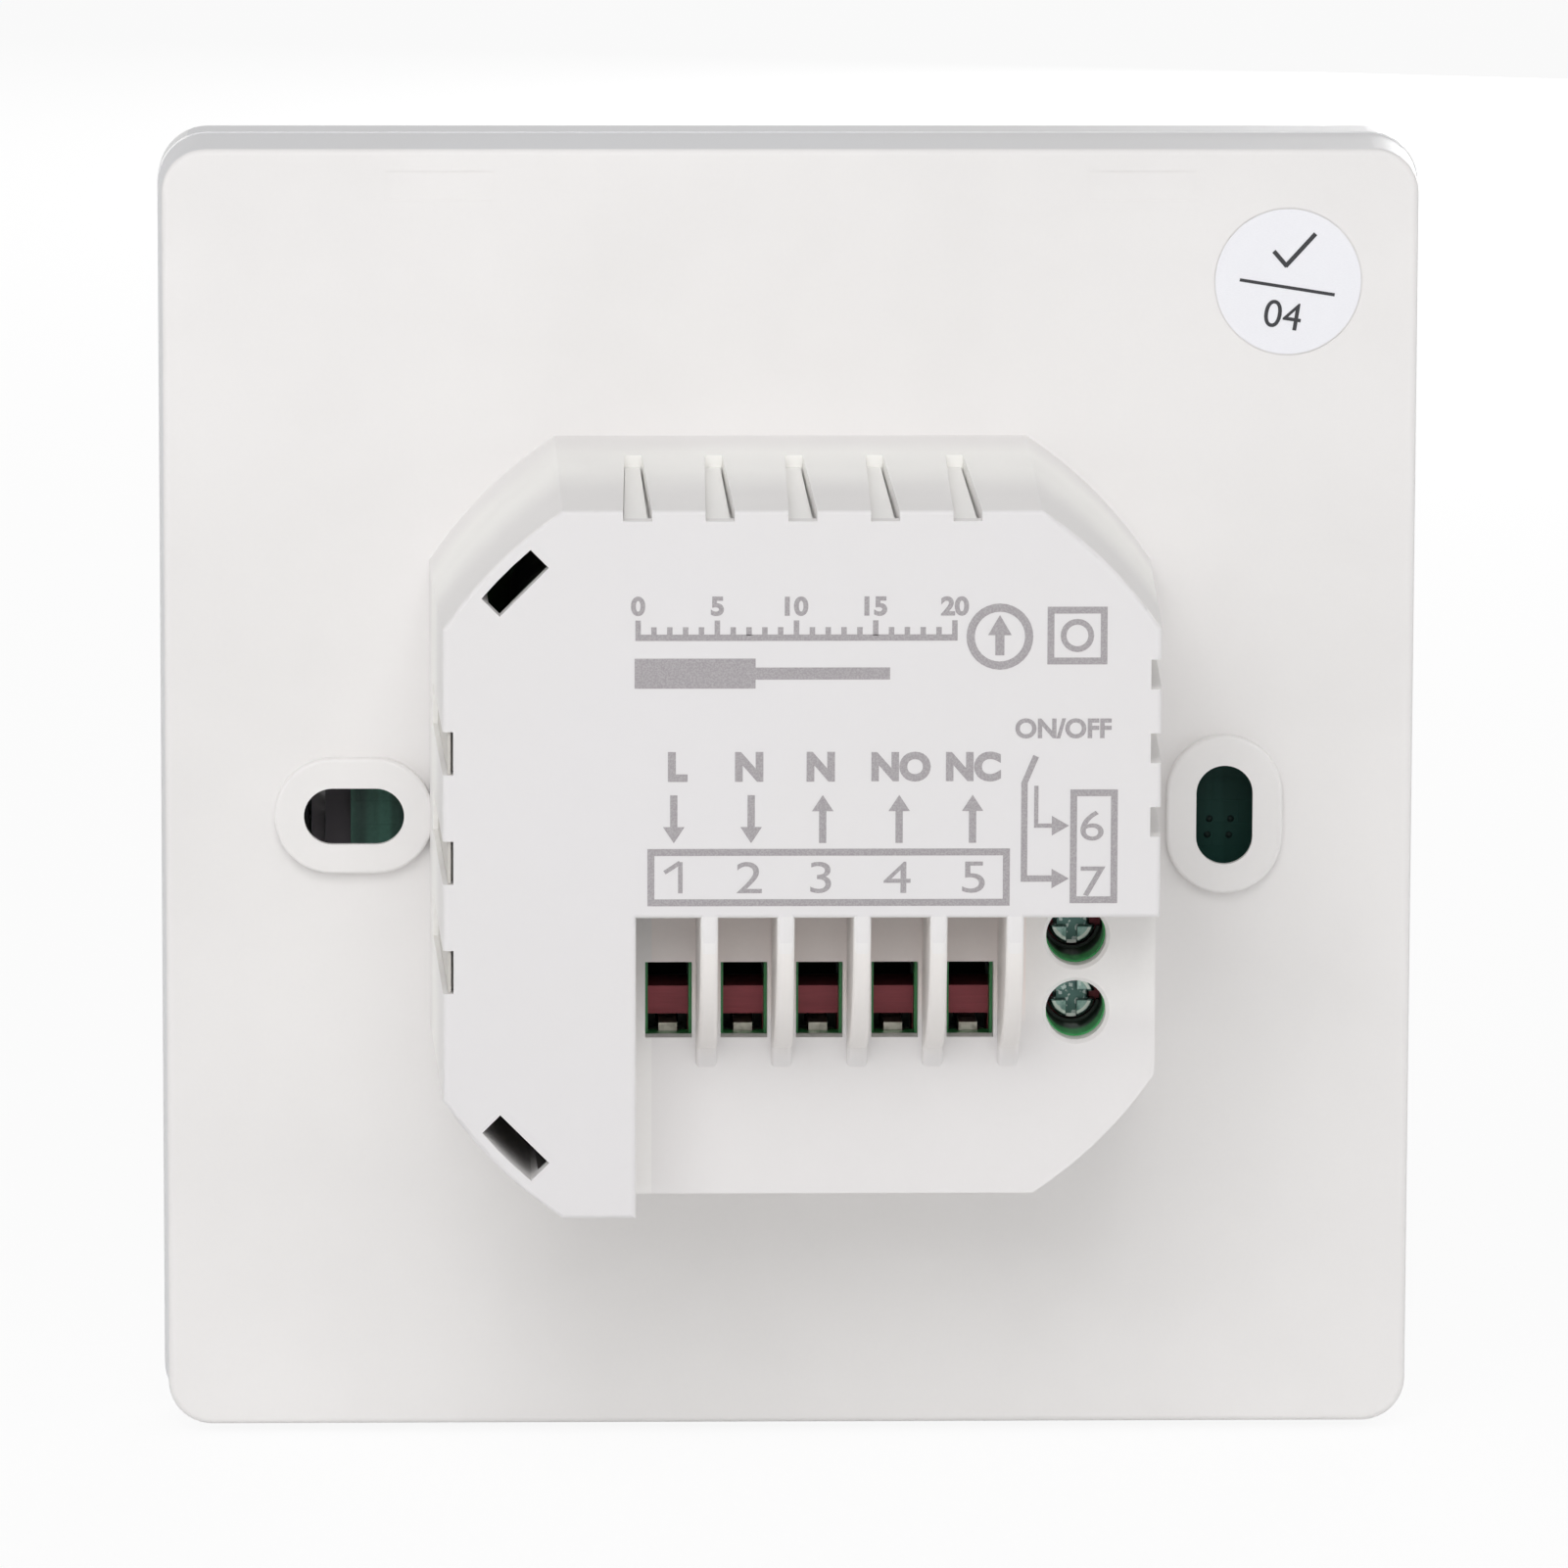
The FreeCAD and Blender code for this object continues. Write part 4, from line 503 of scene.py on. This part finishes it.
def open_piece(name):
    """An empty mesh, open for editing, that marks are added to."""
    bpy.ops.object.select_all(action="DESELECT")
    piece = bpy.data.objects.new(name, bpy.data.meshes.new(name))
    bpy.context.collection.objects.link(piece)
    bpy.context.view_layer.objects.active = piece
    piece.select_set(True)
    bpy.ops.object.mode_set(mode="EDIT")
    return piece


def bar(x, z, width, height, y, lean=0.0):
    """A thin block in the XZ plane, leaning by an angle in degrees towards the right."""
    thick = PRINT_THICK + PRINT_STEP * next(print_layers)
    bpy.ops.mesh.primitive_cube_add(
        size=1, location=at(x, z, y), rotation=(0, math.radians(lean), 0),
        scale=(width * MM, thick * MM, height * MM),
    )


def line(x0, z0, x1, z1, width, y):
    """A bar from one point to another."""
    long = math.hypot(x1 - x0, z1 - z0)
    lean = math.degrees(math.atan2(x1 - x0, z1 - z0))
    bar((x0 + x1) / 2, (z0 + z1) / 2, width, long, y, lean)


def box_lines(left, right, low, high, width, y):
    """A rectangle of four lines, measured to their outer edges."""
    for x in (left + width / 2, right - width / 2):
        bar(x, (low + high) / 2, width, high - low, y)
    for z in (low + width / 2, high - width / 2):
        bar((left + right) / 2, z, right - left - 2 * width, width, y)


def wedge(x, z, radius, towards, y, wide=1.0):
    """A triangle whose point looks towards an angle: 0 up, 90 right."""
    thick = PRINT_THICK + PRINT_STEP * (PRINT_LAYERS + 1)
    bpy.ops.mesh.primitive_cylinder_add(
        vertices=3, radius=radius * MM, depth=thick * MM, location=at(x, z, y),
        rotation=(math.pi / 2, math.radians(towards), 0), scale=(wide, 1, 1),
    )


def ring(x, z, outer, inner, y, start=0.0, end=360.0, steps=32):
    """An arc of short lines; angles run clockwise from up."""
    middle = (outer + inner) / 2
    width = outer - inner
    count = max(2, int(steps * (end - start) / 360))
    turn = (end - start) / count
    for k in range(count):
        a = math.radians(start + (k + 0.5) * turn)
        long = 2 * outer * math.tan(math.radians(turn) / 2)
        bar(x + middle * math.sin(a), z + middle * math.cos(a), long, width, y, math.degrees(a))


def close_piece(piece, finish, body):
    """Ends the editing of a piece of marks, with its faces outwards."""
    bpy.ops.mesh.select_all(action="SELECT")
    bpy.ops.mesh.normals_make_consistent(inside=False)
    bpy.ops.object.mode_set(mode="OBJECT")
    settle(piece, finish, body)


def settle(piece, finish, body):
    """Gives a finished piece its material and its body."""
    piece.data.materials.clear()
    piece.data.materials.append(finish.material)
    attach(piece, body)


def letters(name, marks, y, finish, body, weight=0.0, tilt=0.0, front=False, wide=1.0):
    """Plain letters and numbers, each given as its text, centre and height."""
    made = []
    for text, x, z, height in marks:
        bpy.ops.object.select_all(action="DESELECT")
        bpy.ops.object.text_add()
        word = bpy.context.object
        word.data.body = text
        word.data.offset = weight
        word.data.extrude = LETTER_DEPTH
        word.data.resolution_u = 6
        bpy.ops.object.convert(target="MESH")
        xs = [v.co.x for v in word.data.vertices]
        ys = [v.co.y for v in word.data.vertices]
        middle = Vector(((min(xs) + max(xs)) / 2, (min(ys) + max(ys)) / 2, 0))
        scale = height * MM / (max(ys) - min(ys))
        word.data.transform(Matrix.Translation(-middle))
        word.scale = (wide * scale, scale, PRINT_THICK * MM / (2 * LETTER_DEPTH))
        word.rotation_euler = (math.pi / 2, math.radians(tilt), math.pi if front else 0.0)
        word.location = at(x, z, y)
        bpy.ops.object.transform_apply(location=True, rotation=True, scale=True)
        made.append(word)
    for word in made:
        word.select_set(True)
    bpy.context.view_layer.objects.active = made[0]
    if len(made) > 1:
        bpy.ops.object.join()
    piece = bpy.context.object
    piece.name = name
    piece.data.name = name
    settle(piece, finish, body)


# Print on the box's rear face

NUMBERS_Z = -0.74
NUMBER_TALL = 2.1
LETTERS_Z = 6.7
LETTER_TALL = 2.0
terminals = (-8.36, -3.49, 1.25, 6.32, 11.39)
letters(
    "print_terminal_numbers",
    [(str(k + 2), x, NUMBERS_Z, NUMBER_TALL) for k, x in enumerate(terminals[1:])]
    + [("6", 19.24, 2.71, LETTER_TALL), ("7", 19.33, -1.04, LETTER_TALL)],
    FACE, print_grey, "rear", wide=1.28,
)
letters(
    "print_terminal_letters",
    [(text, x, LETTERS_Z, LETTER_TALL)
     for text, x in (("L", -8.24), ("N", -3.51), ("N", 1.23), ("NO", 6.55), ("NC", 11.35))],
    FACE, print_grey, "rear", weight=0.055,
)

# Boxes round the numbers, a square with a ring, and the 1, which is drawn
piece = open_piece("print_boxes")
box_lines(-10.24, 13.80, -2.66, 1.19, 0.46, FACE)
box_lines(17.79, 20.94, -2.5, 5.15, 0.45, FACE)
box_lines(16.2, 20.17, 13.54, 17.39, 0.45, FACE)
ring(18.18, 15.47, 1.1, 0.72, FACE, steps=24)
bar(terminals[0] + 0.3, NUMBERS_Z, 0.3, NUMBER_TALL, FACE)
line(terminals[0] - 0.75, NUMBERS_Z + 0.34, terminals[0] + 0.28, NUMBERS_Z + 1.02, 0.28, FACE)
close_piece(piece, print_grey, "rear")

# The first two arrows point down at their numbers, the others up
ARROW_LOW, ARROW_HIGH = 1.58, 4.8
ARROW_POINT = 0.72
piece = open_piece("print_arrows")
for k, x in enumerate((-8.5, -3.37, 1.37, 6.44, 11.31)):
    if k < 2:
        line(x, ARROW_HIGH, x, ARROW_LOW + 0.8, 0.48, FACE)
        wedge(x, ARROW_LOW + ARROW_POINT, ARROW_POINT, 180, FACE, 1.14)
    else:
        line(x, ARROW_LOW, x, ARROW_HIGH - 0.8, 0.48, FACE)
        wedge(x, ARROW_HIGH - ARROW_POINT, ARROW_POINT, 0, FACE, 1.14)
close_piece(piece, print_grey, "rear")

piece = open_piece("print_contact_sign")
line(15.50, 7.39, 14.70, 5.5, 0.4, FACE)
line(14.74, 5.6, 14.74, -1.04, 0.42, FACE)
line(14.53, -0.84, 16.6, -0.84, 0.42, FACE)
line(15.53, 5.4, 15.53, 2.58, 0.28, FACE)
line(15.39, 2.72, 16.6, 2.72, 0.28, FACE)
wedge(16.95, -0.84, 0.76, 90, FACE)
wedge(16.95, 2.72, 0.76, 90, FACE)
close_piece(piece, print_grey, "rear")

# A strip gauge: a ruler with plain numbers, and a wire bared to its length
GAUGE_START = -10.87
GAUGE_MARK = 1.0469
GAUGE_Z = 15.5
piece = open_piece("print_strip_gauge")
bar(-0.4, GAUGE_Z - 0.15, 21.3, 0.42, FACE)
for k in range(21):
    tall = 1.0 if k % 5 == 0 else 0.55
    bar(GAUGE_START + k * GAUGE_MARK, GAUGE_Z + tall / 2, 0.36, tall, FACE)
bar(-7.1, 12.95, 8.0, 2.0, FACE)
bar(1.35, 12.95, 8.9, 0.8, FACE)
close_piece(piece, print_grey, "rear")
letters(
    "print_gauge_numbers",
    [(str(k), GAUGE_START + k * GAUGE_MARK, 17.45, 1.3) for k in range(0, 21, 5)],
    FACE, print_grey, "rear", weight=0.04, wide=1.1,
)

# A sign for the side that goes up
UP_SIGN_X = 13.05
piece = open_piece("print_up_sign")
ring(UP_SIGN_X, 15.4, 2.2, 1.66, FACE)
bar(UP_SIGN_X, 15.0, 0.6, 1.7, FACE)
wedge(UP_SIGN_X, 15.95, 0.9, 0, FACE)
close_piece(piece, print_grey, "rear")
letters("print_on_off", [("ON/OFF", 17.3, 9.25, 1.35)], FACE, print_grey, "rear", weight=0.035)

# Marks on the inspection disc, which sits a little turned
DISC_TILT = 9.0
piece = open_piece("disc_line_and_check")
line(30.77, 35.53, 37.30, 34.49, 0.22, PANEL)
line(33.1, 37.5, 34.0, 36.45, 0.3, PANEL)
line(33.9, 36.45, 35.95, 38.7, 0.3, PANEL)
close_piece(piece, ink, "rear")
letters("disc_number", [("04", 33.75, 33.1, 1.9)], PANEL, ink, "rear", tilt=DISC_TILT)

# Solder on the boards

SAME_PLACE = 1e-6
LEAD_GAP = 1.6


def lead_tips(node):
    """The middles of a node's leads at their front ends, read from its own mesh."""
    points = [v.co.copy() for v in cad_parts[node].data.vertices]
    edge = max(point.y for point in points)
    groups = []
    for point in points:
        if abs(point.y - edge) > SAME_PLACE:
            continue
        for group in groups:
            if (group[0] - point).length < LEAD_GAP * MM:
                group.append(point)
                break
        else:
            groups.append([point])
    return [sum(group, Vector()) / len(group) for group in groups]


def fillets(name, places, radius, tall, towards, body, finish=solder):
    """Small cones of solder that rise round each lead."""
    piece = open_piece(name)
    for place in places:
        bpy.ops.mesh.primitive_cone_add(
            vertices=16, radius1=radius * MM, radius2=0.4 * radius * MM, depth=tall * MM,
            location=place, rotation=(-math.pi / 2 if towards > 0 else math.pi / 2, 0, 0),
        )
    bpy.ops.mesh.select_all(action="SELECT")
    bpy.ops.mesh.bevel(offset=0.08 * MM, segments=2)
    close_piece(piece, finish, body)


dull_dots = Finish("dull dots")
dulled = dull_dots.grain(0.3, 2.0)
dull_dots.colour(dull_dots.mix(dulled, rgb(24, 48, 43), rgb(17, 38, 34)))
dull_dots.roughness(0.5 + 0.2 * dulled)

power_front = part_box("power_board")[1][1]
leaded = ("output_relay", "dry_contact_relay", "transformer_base", "bulk_capacitor", "output_capacitor",
          "film_capacitor", "varistor", "fuse")
spots = []
for node in leaded:
    spots += [Vector((tip.x, power_front + 0.3 * MM, tip.z)) for tip in lead_tips(node)]
fillets("power_board_solder", spots, 0.95, 0.7, 1, "rear")

display_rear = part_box("display_board")[0][1]
spots = [at(x, z) for x, z in ((29.37, -2.80), (30.84, -2.80), (29.23, -3.92), (30.74, -3.93))]
for spot in spots:
    spot.y = display_rear - 0.05 * MM
fillets("display_board_solder", spots, 0.3, 0.2, -1, "front", dull_dots)

# Aerial track on the radio board
radio_low, radio_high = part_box("radio_board")
AERIAL_LEGS = 7
AERIAL_STEP = 2.1
AERIAL_TALL = 3.4
TRACK = 0.5
left = radio_low[0] / MM + 1.4
top = radio_high[2] / MM - PANEL_CENTRE_UP - 0.9
depth = radio_low[1] / MM
piece = open_piece("radio_aerial")
for k in range(AERIAL_LEGS):
    x = left + k * AERIAL_STEP
    line(x, top, x, top - AERIAL_TALL, TRACK, depth)
    if k < AERIAL_LEGS - 1:
        z = top if k % 2 else top - AERIAL_TALL
        line(x - TRACK / 2, z, x + AERIAL_STEP + TRACK / 2, z, TRACK, depth)
close_piece(piece, tinned, "front")

# What the display shows, and its key signs

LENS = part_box("front_lens")[1][1] / MM
glow = Finish("lit segments")
flicker = glow.grain(6.0, 1.0)
glow.colour(glow.mix(flicker, rgb(226, 240, 250), rgb(206, 228, 246)))
glow.feed(glow.shader.inputs["Emission Color"], glow.mix(flicker, rgb(220, 238, 250), rgb(200, 226, 248)))
glow.shader.inputs["Emission Strength"].default_value = 0.7
glow.roughness(0.3 + 0.1 * flicker)

key_grey = Finish("key signs")
ghost = key_grey.grain(3.0, 1.0)
key_grey.colour(key_grey.mix(ghost, rgb(128, 132, 136), rgb(112, 116, 120)))
key_grey.roughness(0.3 + 0.1 * ghost)

SEGMENTS = {"0": "abcdef", "1": "bc", "2": "abged", "5": "afgcd", "C": "afed"}


def segment_bar(x, z, long, thick, upright):
    """One bar of a numeral, with pointed ends."""
    size = (thick, long) if upright else (long, thick)
    bar(x, z, size[0] if upright else size[0] - thick, size[1] - thick if upright else size[1], LENS)
    for s in (-1, 1):
        reach = s * (long - thick) / 2
        place = (x, z + reach) if upright else (x + reach, z)
        bar(place[0], place[1], thick * 0.7071, thick * 0.7071, LENS, 45)


def numeral(sign, x, z, height):
    """A numeral of seven bars. The display is read from the front, so left is +X."""
    wide = height * 0.52
    thick = height * 0.1
    half = height / 2
    bars = {
        "a": (0, half, False), "g": (0, 0, False), "d": (0, -half, False),
        "f": (wide / 2, half / 2, True), "b": (-wide / 2, half / 2, True),
        "e": (wide / 2, -half / 2, True), "c": (-wide / 2, -half / 2, True),
    }
    for key in SEGMENTS[sign]:
        dx, dz, upright = bars[key]
        long = (half if upright else wide) - 0.12 * thick
        segment_bar(x + dx, z + dz, long, thick, upright)


glass_low, glass_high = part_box("display_glass")
screen_z = (glass_low[2] + glass_high[2]) / 2 / MM - PANEL_CENTRE_UP
LARGE, SMALL, DOT = 15.0, 3.4, 0.4
LOW_ROW = 12.4
piece = open_piece("display_numerals")
for sign, x in zip("215", (15.5, 5.5, -7.0)):
    numeral(sign, x, screen_z + 1.0, LARGE)
bar(-0.75, screen_z - 6.0, 1.5, 1.5, LENS)
ring(-14.2, screen_z + 8.0, 1.1, 0.7, LENS, steps=24)
numeral("C", -17.8, screen_z + 6.6, 3.6)
# The time at the left, the set temperature at the right
for sign, x in zip("2200", (17.0, 14.2, 10.6, 7.8)):
    numeral(sign, x, screen_z - LOW_ROW, SMALL)
for z in (-11.6, -13.2):
    bar(12.4, screen_z + z, DOT, DOT, LENS)
for sign, x in zip("220", (-9.0, -11.8, -15.4)):
    numeral(sign, x, screen_z - LOW_ROW, SMALL)
bar(-13.6, screen_z - 13.9, DOT, DOT, LENS)
# Radio waves, and three bent lines of rising heat
for k in range(3):
    ring(-16.3, screen_z - 5.0, 1.2 + 1.1 * k, 0.75 + 1.1 * k, LENS, -45, 45, 40)
heat_z = screen_z + 13.4
for x in (12.0, 10.4, 8.8):
    line(x, heat_z, x - 0.5, heat_z + 0.8, 0.35, LENS)
    line(x - 0.5, heat_z + 0.8, x, heat_z + 1.6, 0.35, LENS)
close_piece(piece, glow, "front")
letters(
    "display_day_numbers",
    [(str(k + 1), 17.4 - 5.8 * k, screen_z + 17.6, 1.9) for k in range(7)],
    LENS, glow, "front", front=True,
)

# Key signs from left to right: on and off, menu, clock, down, up
KEY_Z = -29.0
KEY_PITCH = 13.0
piece = open_piece("key_signs")
ring(2 * KEY_PITCH, KEY_Z, 2.0, 1.6, LENS, 30, 330)
bar(2 * KEY_PITCH, KEY_Z + 1.5, 0.4, 1.7, LENS)
for rise in (-1.2, 0.0, 1.2):
    bar(KEY_PITCH, KEY_Z + rise, 3.6, 0.4, LENS)
ring(0, KEY_Z, 2.0, 1.6, LENS)
line(0, KEY_Z, 0, KEY_Z + 1.3, 0.35, LENS)
line(0, KEY_Z, -1.0, KEY_Z, 0.35, LENS)
for x, rise in ((-KEY_PITCH, 0.9), (-2 * KEY_PITCH, -0.9)):
    for reach in (-1.8, 1.8):
        line(x + reach, KEY_Z + rise, x, KEY_Z - rise, 0.42, LENS)
close_piece(piece, key_grey, "front")


# Floor, light and camera

FLOOR_REACH = 3.0
FLOOR_GAP = 0.0002
FLOOR_WHITENESS = 0.91
floor_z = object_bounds()[0][2]
bpy.ops.object.select_all(action="DESELECT")
bpy.ops.mesh.primitive_plane_add(size=2 * FLOOR_REACH, location=(0, 0, floor_z - FLOOR_GAP))
floor = bpy.context.object
floor.name = "floor"
bpy.ops.object.mode_set(mode="EDIT")
bpy.ops.mesh.select_all(action="SELECT")
bpy.ops.mesh.subdivide(number_cuts=1)
bpy.ops.object.mode_set(mode="OBJECT")
bpy.ops.object.transform_apply(location=True, rotation=True, scale=True)

pale = Finish("floor", Roughness=0.9)
pale.colour(rgb(246, 246, 246))
rays = pale.node("ShaderNodeLightPath").outputs
seen = Value(pale, rays["Is Camera Ray"]).most(Value(pale, rays["Is Glossy Ray"]))
seen = seen.most(Value(pale, rays["Is Transmission Ray"]))
white = pale.node("ShaderNodeEmission", {}, {"Color": (1, 1, 1, 1), "Strength": 1.0})
shown = seen * FLOOR_WHITENESS
blend = pale.node("ShaderNodeMixShader", {}, {0: shown, 1: pale.shader.outputs[0], 2: white.outputs[0]})
pale.feed(pale.tree.nodes["Material Output"].inputs["Surface"], blend.outputs[0])
floor.data.materials.append(pale.material)

AMBIENT_REAR = 0.6
AMBIENT_ROOM = 0.25
world = bpy.data.worlds.new("studio")
bpy.context.scene.world = world
world.use_nodes = True
links = world.node_tree.links
sky = world.node_tree.nodes["Background"]
rays = world.node_tree.nodes.new("ShaderNodeLightPath").outputs
shown = rays["Is Camera Ray"]
for ray in ("Is Glossy Ray", "Is Transmission Ray"):
    either = world.node_tree.nodes.new("ShaderNodeMath")
    either.operation = "MAXIMUM"
    links.new(shown, either.inputs[0])
    links.new(rays[ray], either.inputs[1])
    shown = either.outputs[0]
strength = world.node_tree.nodes.new("ShaderNodeMapRange")
directions = world.node_tree.nodes.new("ShaderNodeTexCoord").outputs["Generated"]
parts = world.node_tree.nodes.new("ShaderNodeSeparateXYZ")
links.new(directions, parts.inputs[0])
sides = world.node_tree.nodes.new("ShaderNodeMapRange")
sides.inputs["From Min"].default_value = -1.0
sides.inputs["To Min"].default_value = AMBIENT_REAR
sides.inputs["To Max"].default_value = AMBIENT_ROOM
links.new(parts.outputs["Y"], sides.inputs["Value"])
links.new(sides.outputs[0], strength.inputs["To Min"])
strength.inputs["To Max"].default_value = 1.0
links.new(shown, strength.inputs["Value"])
links.new(strength.outputs[0], sky.inputs["Strength"])
sky.inputs["Color"].default_value = (1.0, 1.0, 1.0, 1.0)


def softbox(name, place, size, power):
    """A square soft light that looks at the thermostat."""
    lamp = bpy.data.lights.new(name, "AREA")
    lamp.shape = "SQUARE"
    lamp.size = size
    lamp.energy = power
    made = bpy.data.objects.new(name, lamp)
    bpy.context.collection.objects.link(made)
    made.location = place
    made.rotation_euler = Vector(place).to_track_quat("Z", "Y").to_euler()
    made.visible_camera = False


# Name, place, size in metres, watts
for light in (
    ("upper_light", (-0.06, -0.38, 0.26), 0.32, 0.92),
    ("left_light", (-1.1, -0.3, 0.04), 0.6, 2.0),
    ("right_light", (1.1, -0.3, 0.04), 0.6, 2.2),
    ("room_side_light", (0.25, 0.9, 0.02), 0.3, 6.0),
):
    softbox(*light)

# The camera that the photograph was taken with: it looks at a point on the panel's plane
CAMERA_AWAY = 0.76388
CAMERA_AIM = (-0.3716, 0.5591)
PITCH = math.radians(9.436)
YAW = math.radians(1.583)
ROLL = math.radians(0.163)
LENS_LENGTH = 254.30
back = Vector((-math.sin(YAW) * math.cos(PITCH), -math.cos(YAW) * math.cos(PITCH), math.sin(PITCH)))
right = Vector((0, 0, 1)).cross(back).normalized()
up = back.cross(right)
image_right = right * math.cos(ROLL) + up * math.sin(ROLL)
image_up = up * math.cos(ROLL) - right * math.sin(ROLL)
camera = bpy.data.objects.new("camera", bpy.data.cameras.new("camera"))
bpy.context.collection.objects.link(camera)
camera.data.sensor_width = 36.0
camera.data.lens = LENS_LENGTH
camera.data.clip_start = 0.01
turn = Matrix((image_right, image_up, back)).transposed().to_4x4()
camera.matrix_world = Matrix.Translation(at(*CAMERA_AIM) + back * CAMERA_AWAY) @ turn
bpy.context.scene.camera = camera
bpy.context.scene.view_settings.view_transform = "Standard"
